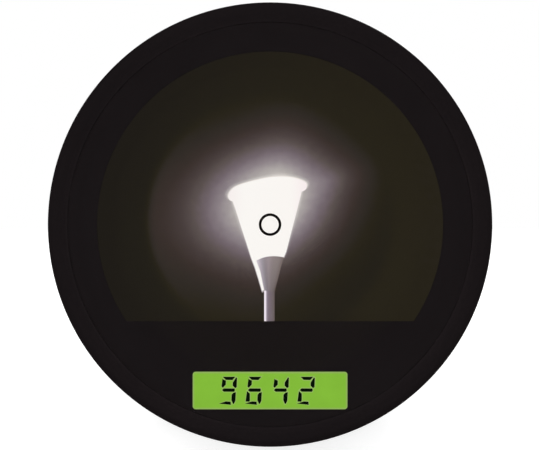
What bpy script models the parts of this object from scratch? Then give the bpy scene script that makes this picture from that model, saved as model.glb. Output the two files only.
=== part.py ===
# Luminance meter with a straight-through finder, as an assembly of separate pieces.
# Metres, +X right, +Y forward along the line of sight, +Z up.
# The origin is the bottom centre of the whole meter. Depths run forward from the eyecup's rim.

import math

import bmesh
import bpy
from mathutils import Vector

for old in list(bpy.data.objects):
    bpy.data.objects.remove(old, do_unlink=True)

parts = bpy.data.collections.new("luminance_meter")
cutters = bpy.data.collections.new("cutters")
bpy.context.scene.collection.children.link(parts)
bpy.context.scene.collection.children.link(cutters)


# Shared clearances and walls
fit_gap = 0.0003
slide_gap = 0.00028
overrun = 0.002
join_depth = 0.0005
weld_distance = 0.00001
housing_wall = 0.0022
sharp_angle = math.radians(35)
fine_steps = 48
round_steps = 36
small_steps = 20

# Line of sight: the eye point behind the rim, and what the eye sees past every ring
eye_distance = 0.05687
sight_margin = 0.00015

# Finder display window and field window in the mask
mask_thickness = 0.0006
field_window_radius = 0.02303
field_chord_drop = 0.01288
display_window_width = 0.02069
display_window_height = 0.00501
display_window_drop = 0.02219
display_window_corner = 0.0004

# Eyecup, retaining ring, lens and tube
eyecup_length = 0.0075
eyecup_rim_wall = 0.0018
eyecup_rim_round = 0.0008
eyecup_base_wall = 0.0024
retaining_ring_length = 0.001
retaining_ring_wall = 0.00195
eyepiece_lens_edge = 0.0018
eyepiece_lens_bulge = 0.0001
eyepiece_lens_seat = 0.00035
eyepiece_flange_length = 0.0008
eyepiece_tube_wall = 0.0006
mask_recess = 0.0012
eyepiece_tube_show = 0.0094
eyepiece_tube_end_gap = 0.0011

# Finder barrel, screen and display stack
finder_barrel_wall = 0.00075
display_glass_border = 0.00055
display_glass_thickness = 0.0011
backlight_thickness = 0.0014
reticle_thickness = 0.001
screen_thickness = 0.0015
screen_chord_drop = 0.0152
screen_frame_thickness = 0.002
screen_frame_lip = 0.0012

# Diopter ring and rear collar
neck_wall = 0.0008
diopter_ring_wall = 0.0024
diopter_ring_length = 0.0087
diopter_ring_bevel = 0.0005
collar_flange_length = 0.0022
collar_flange_lip = 0.00035
collar_spigot_length = 0.0045
neck_step = 0.0002

# Housing
body_corner_radius = 0.018
least_flat = 0.0005
side_flat_margin = 0.0011
housing_taper_length = 0.0125
front_rounding = 0.003
front_rounding_angle = math.radians(60)
front_rounding_steps = 3
taper_shares = (0, 0.14, 0.34, 0.58, 0.8, 1)
corner_steps = 7
split_gap = 0.0003

# Base plate and tripod bush
base_thickness = 0.003
base_width = 0.030
base_length = 0.066
base_corner_radius = 0.005
bush_radius = 0.006
bush_bore_radius = 0.003175
bush_bore_depth = 0.0082
bush_length = 0.0092
bush_recess = 0.0002
bush_flange_radius = 0.008
bush_flange_thickness = 0.0014

# Front plate, lens sleeve and focus ring
front_plate_thickness = 0.0035
sleeve_radius = 0.022
sleeve_wall = 0.0017
sleeve_rear_length = 0.003
sleeve_flange_radius = 0.026
sleeve_flange_length = 0.002
sleeve_front_length = 0.0199
focus_ring_wall = 0.0052
focus_ring_length = 0.0194
focus_ring_bevel = 0.0007

# Objective
barrel_wall = 0.0018
barrel_head_radius = 0.0253
barrel_head_length = 0.009
barrel_head_gap = 0.001
barrel_head_bevel = 0.0006
hood_mouth_radius = 0.0222
hood_depth = 0.0055
lens_ledge = 0.0013
lens_ledge_length = 0.0016
front_lens_edge = 0.0032
front_lens_bulge = 0.0019
rear_lens_edge = 0.0028
rear_lens_bulge = 0.0011
rear_lens_setback = 0.003
lens_ring_length = 0.0016
lens_ring_wall = 0.0013

# Optical bench
bench_width = 0.028
bench_thickness = 0.0025
bench_fit = 0.0004
boss_bench_gap = 0.00035
bench_ring_thickness = 0.0025
bench_lip_thickness = 0.0023
bench_lip_bore = 0.018
bench_lip_gap = 0.00305
bench_tray_gap = 0.0014
bench_rear_gap = 0.0005
bench_wall_height = 0.012
bench_wall_thickness = 0.0016
prism_rib_length = 0.006
prism_rib_width = 0.020
prism_width = 0.022
prism_height = 0.024
prism_base_length = 0.036
prism_top_length = 0.022
prism_boss_gap = 0.0016
splitter_side = 0.020
splitter_prism_gap = 0.0035
splitter_seat_width = 0.018
splitter_seat_length = 0.013
measuring_hole_radius = 0.005
relay_ring_gap = 0.00275
relay_cell_length = 0.0075
relay_cell_wall = 0.0022
relay_lens_edge = 0.003
relay_lens_bulge = 0.0014
relay_ledge = 0.001

# Measuring branch below the splitter
detector_radius = 0.009
detector_wall = 0.0018
detector_length = 0.0115
aperture_thickness = 0.0005
aperture_radius = 0.0006
filter_thickness = 0.0022
photodiode_rim_thickness = 0.0008
photodiode_can_radius = 0.0045
photodiode_can_length = 0.004

# Battery box on the right
cell_radius = 0.00725
cell_length = 0.0505
cell_nub_radius = 0.00275
cell_nub_length = 0.001
cell_spacing = 0.0006
box_wall = 0.001
box_boss_gap = 0.00205
box_front_gap = 0.0006
contact_thickness = 0.0004
contact_width = 0.010
contact_bump_radius = 0.0028
contact_bump_length = 0.0004
contact_room = 0.0014

# Battery door, pin and latch
door_thickness = 0.002
door_margin = 0.0008
door_edge_gap = 0.0003
door_pin_radius = 0.0005
door_pin_gap = 0.00025
door_pin_overlap = 0.0025
latch_width = 0.010
latch_height = 0.005
latch_thickness = 0.0012
latch_neck_width = 0.005
latch_neck_height = 0.002
latch_travel = 0.0018
latch_tongue_thickness = 0.0012
latch_edge = 0.0028

# Display, boards and keys on the left
side_window_width = 0.041
side_window_height = 0.021
side_window_shift = 0.0011
side_window_rise = 0.005
side_window_proud = 0.0002
side_display_border = 0.0012
side_display_thickness = 0.002
board_thickness = 0.0016
display_board_gap = 0.0009
display_board_height = 0.034
main_board_setback = 0.0018
main_board_height = 0.032
main_board_rise = 0.0006
chip_thickness = 0.0012
chip_sides = (0.012, 0.009, 0.006)
chip_depth_shares = (0.22, 0.52, 0.8)
key_length = 0.010
key_height = 0.005
key_proud = 0.001
key_flange_margin = 0.0009
key_flange_thickness = 0.0008
key_gap = 0.0017
key_spacing = 0.020

# Power switch
switch_gap = 0.0023
switch_knob_length = 0.005
switch_knob_height = 0.008
switch_knob_thickness = 0.0017
switch_neck_length = 0.0026
switch_neck_height = 0.004
switch_travel = 0.004
switch_plate_thickness = 0.001
switch_drop = 0.002

# Measuring button on the top
button_depth_share = 0.688
button_radius = 0.006
button_height = 0.0075
button_proud = 0.002
button_travel = 0.0012
button_crown = 0.0006
button_stem_radius = 0.002
guide_wall = 0.001
guide_flange_radius = 0.009
guide_flange_thickness = 0.0012
guide_length = 0.0145
guide_floor = 0.0012
guide_floor_hole = 0.002
switch_body_radius = 0.0055
switch_body_height = 0.0028
plunger_radius = 0.0016
plunger_height = 0.001
spring_wire_radius = 0.0003
spring_radius = 0.0036
spring_turns = 3
spring_turn_points = 10

# Interface port and its cover
port_width = 0.0088
port_height = 0.0034
port_wall = 0.0005
port_length = 0.007
port_recess = 0.0004
cover_length = 0.0125
cover_height = 0.0085
cover_thickness = 0.0016
cover_plug_length = 0.0058
cover_plug_height = 0.0016
cover_plug_depth = 0.0009
cover_plug_offset = 0.0005

# Strap lugs
lug_screw_gap = 0.003
lug_reach = 0.0042
lug_height = 0.012
lug_thickness = 0.003
lug_slot_reach = 0.0019
lug_slot_height = 0.0076
lug_slot_setback = 0.0011
lug_shank_radius = 0.0015
lug_shank_length = 0.0038

# Housing screws
screw_head_radius = 0.0023
screw_head_thickness = 0.0014
screw_head_recess = 0.0003
screw_shank_radius = 0.001
screw_length = 0.036
boss_radius = 0.0029
boss_bore_radius = 0.0013
boss_relay_gap = 0.00085
boss_splitter_gap = 0.00035


# Places worked out along the line of sight
retaining_ring_depth = eyecup_length + fit_gap
eyepiece_lens_depth = retaining_ring_depth + retaining_ring_length + fit_gap
eyepiece_flange_depth = eyepiece_lens_depth + eyepiece_lens_edge + fit_gap
mask_depth = eyepiece_flange_depth + eyepiece_flange_length + mask_recess
tube_full_depth = mask_depth - fit_gap
finder_barrel_depth = mask_depth + mask_thickness + fit_gap
stack_depth = finder_barrel_depth
diopter_ring_depth = tube_full_depth + eyepiece_tube_show
collar_flange_depth = diopter_ring_depth + diopter_ring_length + fit_gap
collar_flange_end = collar_flange_depth + collar_flange_length
spigot_end = collar_flange_end + collar_spigot_length
housing_depth = collar_flange_end + fit_gap

# The optics on the bench, one behind the other, with the screw bosses and the battery tray beside them
tray_inner_height = 4 * cell_radius + cell_spacing + 2 * fit_gap
tray_inner_length = cell_length + 2 * contact_room
tray_inner_width = 2 * cell_radius + 2 * fit_gap
tray_height = tray_inner_height + 2 * box_wall
tray_length = tray_inner_length + 2 * box_wall
bench_rear_depth = spigot_end + bench_rear_gap
relay_start = bench_rear_depth + bench_ring_thickness + relay_ring_gap
rear_screw_depth = relay_start + relay_cell_length + boss_relay_gap + boss_radius
prism_depth = rear_screw_depth + boss_radius + prism_boss_gap + prism_base_length / 2
splitter_depth = prism_depth + prism_base_length / 2 + splitter_prism_gap + splitter_side / 2
tray_start = rear_screw_depth + boss_radius + box_boss_gap
box_depth = tray_start + tray_length / 2
front_boss_start = max(
    tray_start + tray_length + box_front_gap,
    splitter_depth + splitter_seat_length / 2 + fit_gap,
)
front_screw_depth = front_boss_start + boss_radius
bench_lip_depth = (
    max(front_screw_depth + boss_radius, splitter_depth + splitter_side / 2) + bench_lip_gap
)
bench_lip_end = bench_lip_depth + bench_lip_thickness
sleeve_rear = bench_lip_end + fit_gap
front_plate_depth = sleeve_rear + sleeve_rear_length
housing_front = front_plate_depth - fit_gap
housing_length = housing_front - housing_depth
sleeve_flange_depth = front_plate_depth + front_plate_thickness + fit_gap
focus_ring_depth = sleeve_flange_depth + sleeve_flange_length + fit_gap
barrel_head_depth = focus_ring_depth + focus_ring_length + barrel_head_gap
total_length = barrel_head_depth + barrel_head_length

# The body's width, height and bosses follow from the battery tray and the optics
body_half_width = (
    bench_width / 2 + bench_tray_gap + box_wall + tray_inner_width + fit_gap + housing_wall
)
body_half_height = tray_height / 2 + door_margin + body_corner_radius + side_flat_margin
screw_rise = splitter_side / 2 + boss_splitter_gap + boss_radius
bench_drop = max(screw_rise + boss_radius, prism_height / 2) + boss_bench_gap
front_inset = front_rounding * (1 - math.cos(front_rounding_angle))
bench_ring_radius = (
    min(body_half_width, body_half_height) - front_inset - housing_wall - bench_fit
)
axis_height = base_thickness + fit_gap + body_half_height

display_corner = math.hypot(display_window_width / 2, display_window_drop + display_window_height / 2)
display_glass_width = display_window_width + 2 * display_glass_border
display_glass_height = display_window_height + 2 * display_glass_border
display_glass_corner = math.hypot(display_glass_width / 2, display_window_drop + display_glass_height / 2)
finder_barrel_bore = display_glass_corner + fit_gap
finder_barrel_radius = finder_barrel_bore + finder_barrel_wall
eyepiece_tube_bore = finder_barrel_radius + slide_gap
eyepiece_tube_radius = eyepiece_tube_bore + eyepiece_tube_wall
neck_bore = eyepiece_tube_radius + slide_gap
neck_radius = neck_bore + neck_wall
diopter_ring_bore = neck_radius + slide_gap
diopter_ring_radius = diopter_ring_bore + diopter_ring_wall
collar_radius = diopter_ring_radius + collar_flange_lip
stack_radius = finder_barrel_bore - fit_gap


def station(depth):
    """World Y of a depth ahead of the eyecup's rim."""
    return depth - total_length / 2


def sight_radius(depth):
    """How far from the axis the eye sees the display window's corner at this depth."""
    return display_corner * (eye_distance + depth) / (eye_distance + mask_depth) + sight_margin


# Materials
def material(name, colour, roughness, metallic=0.0, transmission=0.0):
    look = bpy.data.materials.new(name)
    look.use_nodes = True
    shader = look.node_tree.nodes["Principled BSDF"]
    shader.inputs["Base Color"].default_value = (*colour, 1)
    shader.inputs["Roughness"].default_value = roughness
    shader.inputs["Metallic"].default_value = metallic
    shader.inputs["Transmission Weight"].default_value = transmission
    look.diffuse_color = (*colour, 1)
    return look


black_rubber = material("black rubber", (0.010, 0.008, 0.009), 0.85)
black_anodised = material("black anodised aluminium", (0.012, 0.011, 0.012), 0.55, 0.3)
matt_black = material("matt black paint", (0.010, 0.008, 0.009), 0.9)
graphite_abs = material("graphite ABS", (0.045, 0.047, 0.052), 0.6)
light_abs = material("light grey ABS", (0.42, 0.43, 0.43), 0.5)
clear_glass = material("clear glass", (0.9, 0.95, 0.95), 0.02, 0.0, 0.9)
ground_glass = material("ground glass", (0.35, 0.32, 0.28), 0.8, 0.0, 0.3)
green_light = material("green light guide", (0.23, 0.50, 0.04), 0.5)
display_cell = material("liquid crystal cell", (0.30, 0.42, 0.20), 0.2)
acrylic = material("clear acrylic", (0.20, 0.22, 0.24), 0.1, 0.0, 0.5)
bare_aluminium = material("machined aluminium", (0.55, 0.56, 0.57), 0.35, 1.0)
cast_aluminium = material("cast aluminium", (0.30, 0.30, 0.31), 0.6, 1.0)
steel = material("steel", (0.50, 0.50, 0.51), 0.3, 1.0)
brass = material("brass", (0.60, 0.45, 0.20), 0.35, 1.0)
circuit_board = material("circuit board", (0.02, 0.12, 0.05), 0.6)
cell_jacket = material("cell jacket", (0.25, 0.26, 0.28), 0.4, 0.4)
green_filter = material("green filter glass", (0.30, 0.55, 0.25), 0.1, 0.0, 0.6)
measure_orange = material("orange ABS", (0.60, 0.16, 0.02), 0.45)


# Building blocks
def evaluated_mesh(thing):
    bpy.context.view_layer.update()
    return bpy.data.meshes.new_from_object(thing.evaluated_get(bpy.context.evaluated_depsgraph_get()))


def put(name, mesh, look, at, turn=(0, 0, 0), group=parts):
    piece = bpy.data.objects.new(name, mesh)
    group.objects.link(piece)
    piece.location = at
    piece.rotation_euler = turn
    mesh.materials.clear()
    mesh.materials.append(look)
    if group is cutters:
        piece.hide_render = True
        piece.display_type = "WIRE"
    return piece


AXIS_TURNS = {
    "X": (0, math.radians(90), 0),
    "Y": (math.radians(-90), 0, 0),
    "Z": (0, 0, 0),
}


def turned(name, outline, look, at, axis="Y", steps=round_steps, group=parts):
    """A turned shape. The outline's (radius, height) points run down its outer side."""
    mesh = bpy.data.meshes.new(name)
    shape = bmesh.new()
    rim = [shape.verts.new((radius, 0, height)) for radius, height in outline]
    for first, second in zip(rim, rim[1:]):
        shape.edges.new((first, second))
    if outline[0][0] > 0:
        shape.edges.new((rim[-1], rim[0]))
    shape.to_mesh(mesh)
    shape.free()
    profile = bpy.data.objects.new(name + "_profile", mesh)
    cutters.objects.link(profile)
    screw = profile.modifiers.new("Turn", "SCREW")
    screw.axis = "Z"
    screw.steps = steps
    screw.render_steps = steps
    screw.use_merge_vertices = True
    screw.merge_threshold = weld_distance
    solid = evaluated_mesh(profile)
    bpy.data.objects.remove(profile, do_unlink=True)
    solid.shade_smooth()
    solid.set_sharp_from_angle(angle=sharp_angle)
    return put(name, solid, look, at, AXIS_TURNS[axis], group)


def on_axis(name, outline, look, steps=round_steps, group=parts):
    """A turned piece round the line of sight, with depths for heights and its origin at the rim's centre."""
    return turned(name, outline, look, (0, station(0), axis_height), "Y", steps, group)


def pipe(outer, inner, start, end):
    """Outline of a plain tube."""
    return [(outer, end), (outer, start), (inner, start), (inner, end)]


def lens_outline(radius, start, edge, front_bulge, rear_bulge, rings=3):
    """Outline of a lens whose edge runs forward from a depth. Bulges are heights over the edge's ends."""
    shares = [ring / rings for ring in range(rings + 1)]
    front = [(radius * share, start + edge + front_bulge * (1 - share**2)) for share in shares]
    rear = [(radius * share, start - rear_bulge * (1 - share**2)) for share in reversed(shares)]
    return front + rear


def block(name, size, at, look, bevel=0.0, group=parts):
    mesh = bpy.data.meshes.new(name)
    shape = bmesh.new()
    bmesh.ops.create_cube(shape, size=1)
    bmesh.ops.scale(shape, vec=Vector(size), verts=shape.verts)
    shape.to_mesh(mesh)
    shape.free()
    piece = put(name, mesh, look, at, (0, 0, 0), group)
    if bevel:
        rounding = piece.modifiers.new("Edges", "BEVEL")
        rounding.width = bevel
        rounding.segments = 2
    return piece


def rod(name, radius, length, at, look, axis="X", steps=small_steps, group=parts):
    mesh = bpy.data.meshes.new(name)
    shape = bmesh.new()
    bmesh.ops.create_cone(
        shape, cap_ends=True, segments=steps, radius1=radius, radius2=radius, depth=length
    )
    shape.to_mesh(mesh)
    shape.free()
    mesh.shade_smooth()
    mesh.set_sharp_from_angle(angle=sharp_angle)
    return put(name, mesh, look, at, AXIS_TURNS[axis], group)


def flat_plate(name, outlines, thickness, at, look, turn=(math.radians(90), 0, 0), group=parts):
    """A flat piece cut to an outline, with further outlines as its holes. It stands upright across Y."""
    curve = bpy.data.curves.new(name, "CURVE")
    curve.dimensions = "2D"
    curve.fill_mode = "BOTH"
    curve.extrude = thickness / 2
    for outline in outlines:
        spline = curve.splines.new("POLY")
        spline.points.add(len(outline) - 1)
        for point, (x, y) in zip(spline.points, outline):
            point.co = (x, y, 0, 1)
        spline.use_cyclic_u = True
    flat = bpy.data.objects.new(name + "_outline", curve)
    cutters.objects.link(flat)
    mesh = evaluated_mesh(flat)
    bpy.data.objects.remove(flat, do_unlink=True)
    shape = bmesh.new()
    shape.from_mesh(mesh)
    bmesh.ops.remove_doubles(shape, verts=shape.verts, dist=weld_distance)
    bmesh.ops.recalc_face_normals(shape, faces=shape.faces)
    shape.to_mesh(mesh)
    shape.free()
    return put(name, mesh, look, at, turn, group)


def boolean(piece, other, operation):
    change = piece.modifiers.new(other.name, "BOOLEAN")
    change.operation = operation
    change.object = other
    change.solver = "EXACT"


def cut(piece, *tools):
    for tool in tools:
        boolean(piece, tool, "DIFFERENCE")


def join(piece, *additions):
    for addition in additions:
        boolean(piece, addition, "UNION")


def frame_at(name, at):
    """An empty on a joint's axis, which carries the pieces that move together."""
    empty = bpy.data.objects.new(name, None)
    empty.location = at
    parts.objects.link(empty)
    return empty


def carry(empty, *pieces):
    for piece in pieces:
        piece.parent = empty
        piece.location = Vector(piece.location) - Vector(empty.location)


def arc(radius, start, end, steps, centre=(0, 0)):
    angles = [start + (end - start) * step / steps for step in range(steps + 1)]
    return [(centre[0] + radius * math.cos(a), centre[1] + radius * math.sin(a)) for a in angles]


def chord_disc(radius, drop, steps=round_steps):
    """Outline of a disc that is cut off flat below its centre."""
    low = math.asin(drop / radius)
    return arc(radius, -low, math.pi + low, steps)


def rounded_rectangle(half_width, half_height, radius, steps=corner_steps):
    corners = (
        (half_width - radius, half_height - radius, 0),
        (radius - half_width, half_height - radius, 1),
        (radius - half_width, radius - half_height, 2),
        (half_width - radius, radius - half_height, 3),
    )
    points = []
    for x, y, quarter in corners:
        points += arc(radius, math.pi / 2 * quarter, math.pi / 2 * (quarter + 1), steps, (x, y))
    return points


def shifted(points, x, y):
    return [(x + px, y + py) for px, py in points]


# Eyepiece: tube, lens, retaining ring and eyecup, which move together
eyecup_base_radius = sight_radius(eyecup_length) + eyecup_base_wall
eyecup_rim_bore = sight_radius(eyecup_rim_round)
eyecup_rim_radius = eyecup_rim_bore + eyecup_rim_wall
eyecup_outline = [
    (eyecup_base_radius, eyecup_length),
    (eyecup_rim_radius + (eyecup_base_radius - eyecup_rim_radius) * 0.42, eyecup_length / 2),
    (eyecup_rim_radius, eyecup_rim_round),
    (eyecup_rim_radius - eyecup_rim_round / 2, eyecup_rim_round / 4),
    (eyecup_rim_radius - eyecup_rim_round, 0),
    (eyecup_rim_bore + eyecup_rim_round / 2, 0),
    (eyecup_rim_bore, eyecup_rim_round),
    (sight_radius(eyecup_length), eyecup_length),
]
eyecup = on_axis("eyecup", eyecup_outline, black_rubber, fine_steps)

retaining_ring_end = retaining_ring_depth + retaining_ring_length
retaining_ring_bore = sight_radius(retaining_ring_end)
retaining_ring = on_axis(
    "eyepiece_retaining_ring",
    pipe(
        retaining_ring_bore + retaining_ring_wall,
        retaining_ring_bore,
        retaining_ring_depth,
        retaining_ring_end,
    ),
    black_anodised,
)

eyepiece_flange_end = eyepiece_flange_depth + eyepiece_flange_length
eyepiece_flange_bore = sight_radius(eyepiece_flange_end)
eyepiece_lens_radius = eyepiece_flange_bore + eyepiece_lens_seat
eyepiece_lens = on_axis(
    "eyepiece_lens",
    lens_outline(
        eyepiece_lens_radius,
        eyepiece_lens_depth,
        eyepiece_lens_edge,
        eyepiece_lens_bulge,
        eyepiece_lens_bulge,
        2,
    ),
    clear_glass,
)

lens_recess_radius = eyepiece_lens_radius + fit_gap
eyepiece_tube_end = collar_flange_depth - eyepiece_tube_end_gap
eyepiece_tube = on_axis(
    "eyepiece_tube",
    [
        (eyepiece_tube_radius, eyepiece_tube_end),
        (eyepiece_tube_radius, tube_full_depth),
        (lens_recess_radius + eyepiece_tube_wall, eyepiece_lens_depth),
        (lens_recess_radius, eyepiece_lens_depth),
        (lens_recess_radius, eyepiece_flange_depth),
        (eyepiece_flange_bore, eyepiece_flange_depth),
        (eyepiece_flange_bore, eyepiece_flange_end),
        (lens_recess_radius + eyepiece_tube_wall, eyepiece_flange_end),
        (eyepiece_tube_bore, tube_full_depth),
        (eyepiece_tube_bore, eyepiece_tube_end),
    ],
    black_anodised,
)
carry(
    frame_at("eyepiece_slide", (0, station(0), axis_height)),
    eyecup,
    retaining_ring,
    eyepiece_lens,
    eyepiece_tube,
)

# Diopter ring, which turns on the rear collar's neck
diopter_ring_end = diopter_ring_depth + diopter_ring_length
diopter_ring = on_axis(
    "diopter_ring",
    [
        (diopter_ring_radius - diopter_ring_bevel, diopter_ring_end),
        (diopter_ring_radius, diopter_ring_end - diopter_ring_bevel),
        (diopter_ring_radius, diopter_ring_depth + diopter_ring_bevel),
        (diopter_ring_radius - diopter_ring_bevel, diopter_ring_depth),
        (diopter_ring_bore, diopter_ring_depth),
        (diopter_ring_bore, diopter_ring_end),
    ],
    black_anodised,
    fine_steps,
)

# Rear collar: neck for the diopter ring, flange against the housing, spigot round the finder barrel
spigot_radius = collar_radius - housing_wall - fit_gap
spigot_bore = finder_barrel_radius + fit_gap
on_axis(
    "rear_collar",
    [
        (spigot_radius, spigot_end),
        (spigot_radius, collar_flange_end),
        (collar_radius, collar_flange_end),
        (collar_radius, collar_flange_depth),
        (neck_radius, collar_flange_depth),
        (neck_radius, diopter_ring_depth + neck_step),
        (neck_bore, diopter_ring_depth + neck_step),
        (neck_bore, collar_flange_depth),
        (spigot_bore, collar_flange_depth),
        (spigot_bore, spigot_end),
    ],
    black_anodised,
)

# Finder barrel with the mask, the reticle, the screen and the display stack
on_axis(
    "finder_barrel",
    pipe(
        finder_barrel_radius,
        finder_barrel_bore,
        finder_barrel_depth,
        spigot_end,
    ),
    matt_black,
)

flat_plate(
    "field_mask",
    [
        arc(finder_barrel_radius, 0, 2 * math.pi * (round_steps - 1) / round_steps, round_steps - 1),
        chord_disc(field_window_radius, field_chord_drop, fine_steps),
        shifted(
            rounded_rectangle(
                display_window_width / 2, display_window_height / 2, display_window_corner, 2
            ),
            0,
            -display_window_drop,
        ),
    ],
    mask_thickness,
    (0, station(mask_depth + mask_thickness / 2), axis_height),
    matt_black,
)

flat_plate(
    "reticle",
    [chord_disc(stack_radius, screen_chord_drop)],
    reticle_thickness,
    (0, station(stack_depth + reticle_thickness / 2), axis_height),
    clear_glass,
)

screen_depth = stack_depth + reticle_thickness + fit_gap
flat_plate(
    "focusing_screen",
    [chord_disc(stack_radius, screen_chord_drop)],
    screen_thickness,
    (0, station(screen_depth + screen_thickness / 2), axis_height),
    ground_glass,
)

block(
    "finder_lcd",
    (display_glass_width, display_glass_thickness, display_glass_height),
    (0, station(stack_depth + display_glass_thickness / 2), axis_height - display_window_drop),
    display_cell,
)

backlight_depth = stack_depth + display_glass_thickness + fit_gap
block(
    "finder_backlight",
    (display_glass_width, backlight_thickness, display_glass_height),
    (0, station(backlight_depth + backlight_thickness / 2), axis_height - display_window_drop),
    green_light,
)

screen_frame_depth = (
    max(screen_depth + screen_thickness, backlight_depth + backlight_thickness) + fit_gap
)
flat_plate(
    "screen_frame",
    [
        arc(stack_radius, 0, 2 * math.pi * (round_steps - 1) / round_steps, round_steps - 1),
        chord_disc(stack_radius - screen_frame_lip, screen_chord_drop - screen_frame_lip),
    ],
    screen_frame_thickness,
    (0, station(screen_frame_depth + screen_frame_thickness / 2), axis_height),
    matt_black,
)


# Housing halves: an open half surface with a wall, rounded to the rear collar
def half_section(half_width, half_height, radius, side):
    """Points from the top of the split plane, round one side, to its bottom."""
    top = arc(radius, math.pi / 2, 0, corner_steps, (half_width - radius, half_height - radius))
    low = arc(radius, 0, -math.pi / 2, corner_steps, (half_width - radius, radius - half_height))
    split = split_gap / 2
    points = [(split, half_height)] + top + low + [(split, -half_height)]
    return [(side * x, z) for x, z in points]


def housing_sections():
    """(depth, half width, half height, corner radius) along the housing, rear to front."""
    rows = []
    for share in taper_shares:
        ease = share * share * (3 - 2 * share)
        rows.append(
            (
                housing_depth + housing_taper_length * share,
                collar_radius + (body_half_width - collar_radius) * ease,
                collar_radius + (body_half_height - collar_radius) * ease,
                collar_radius - least_flat + (body_corner_radius + least_flat - collar_radius) * ease,
            )
        )
    for step in range(front_rounding_steps + 1):
        angle = front_rounding_angle * step / front_rounding_steps
        inset = front_rounding * (1 - math.cos(angle))
        ahead = front_rounding * (math.sin(front_rounding_angle) - math.sin(angle))
        rows.append(
            (
                housing_front - ahead,
                body_half_width - inset,
                body_half_height - inset,
                body_corner_radius - inset,
            )
        )
    return rows


def housing_half(name, side, look):
    mesh = bpy.data.meshes.new(name)
    shape = bmesh.new()
    rings = []
    for depth, half_width, half_height, radius in housing_sections():
        points = half_section(half_width, half_height, radius, side)
        rings.append(
            [shape.verts.new((x, station(depth) - station(housing_depth), z)) for x, z in points]
        )
    for near, far in zip(rings, rings[1:]):
        for place in range(len(near) - 1):
            corners = (near[place], near[place + 1], far[place + 1], far[place])
            shape.faces.new(corners if side > 0 else tuple(reversed(corners)))
    shape.to_mesh(mesh)
    shape.free()
    mesh.shade_smooth()
    mesh.set_sharp_from_angle(angle=sharp_angle)
    half = put(name, mesh, look, (0, station(housing_depth), axis_height))
    shell = half.modifiers.new("Wall", "SOLIDIFY")
    shell.thickness = housing_wall
    shell.offset = -1
    shell.use_even_offset = True
    return half


left_housing = housing_half("left_housing", -1, graphite_abs)
right_housing = housing_half("right_housing", 1, graphite_abs)
left_side = -body_half_width
right_side = body_half_width
left_inside = left_side + housing_wall
right_inside = right_side - housing_wall
housing_top = axis_height + body_half_height
housing_bottom = axis_height - body_half_height

# Screw bosses, which meet at the split plane, and the four long screws
boss_length = body_half_width - housing_wall / 2 - split_gap / 2
screw_seat = right_side - screw_head_recess - screw_head_thickness
for number, (depth, rise) in enumerate(
    (d, r) for d in (rear_screw_depth, front_screw_depth) for r in (-screw_rise, screw_rise)
):
    y = station(depth)
    z = axis_height + rise
    for half, side in ((left_housing, -1), (right_housing, 1)):
        boss = rod(
            f"boss_{side}_{number}",
            boss_radius,
            boss_length,
            (side * (split_gap / 2 + boss_length / 2), y, z),
            graphite_abs,
            "X",
            12,
            cutters,
        )
        join(half, boss)
    bore_end = screw_seat - screw_length - fit_gap
    bore = rod(
        f"screw_bore_{number}",
        boss_bore_radius,
        right_side + overrun - bore_end,
        ((right_side + overrun + bore_end) / 2, y, z),
        graphite_abs,
        "X",
        12,
        cutters,
    )
    sink_end = screw_seat - fit_gap
    sink = rod(
        f"screw_sink_{number}",
        screw_head_radius + fit_gap,
        right_side + overrun - sink_end,
        ((right_side + overrun + sink_end) / 2, y, z),
        graphite_abs,
        "X",
        16,
        cutters,
    )
    cut(left_housing, bore)
    cut(right_housing, bore, sink)
    turned(
        f"housing_screw_{number + 1}",
        [
            (0, screw_head_thickness),
            (screw_head_radius, screw_head_thickness),
            (screw_head_radius, 0),
            (screw_shank_radius, 0),
            (screw_shank_radius, -screw_length),
            (0, -screw_length),
        ],
        steel,
        (screw_seat, y, z),
        "X",
        16,
    )

# Base plate and tripod bush
base_depth = total_length / 2
bush_hole_radius = bush_radius + fit_gap
base_plate = flat_plate(
    "base_plate",
    [
        rounded_rectangle(base_width / 2, base_length / 2, base_corner_radius, 4),
        arc(bush_hole_radius, 0, 2 * math.pi * (small_steps - 1) / small_steps, small_steps - 1),
    ],
    base_thickness,
    (0, station(base_depth), base_thickness / 2),
    cast_aluminium,
    (0, 0, 0),
)
bush_hole = rod(
    "bush_hole",
    bush_hole_radius,
    housing_wall + 2 * overrun,
    (0, station(base_depth), housing_bottom + housing_wall / 2),
    graphite_abs,
    "Z",
    small_steps,
    cutters,
)
cut(left_housing, bush_hole)
cut(right_housing, bush_hole)
bush_flange_bottom = housing_bottom + housing_wall + fit_gap
turned(
    "tripod_bush",
    [
        (0, bush_recess + bush_length),
        (bush_radius, bush_recess + bush_length),
        (bush_radius, bush_flange_bottom + bush_flange_thickness),
        (bush_flange_radius, bush_flange_bottom + bush_flange_thickness),
        (bush_flange_radius, bush_flange_bottom),
        (bush_radius, bush_flange_bottom),
        (bush_radius, bush_recess),
        (bush_bore_radius, bush_recess),
        (bush_bore_radius, bush_recess + bush_bore_depth),
        (0, bush_recess + bush_bore_depth),
    ],
    brass,
    (0, station(base_depth), 0),
    "Z",
    small_steps,
)

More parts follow.
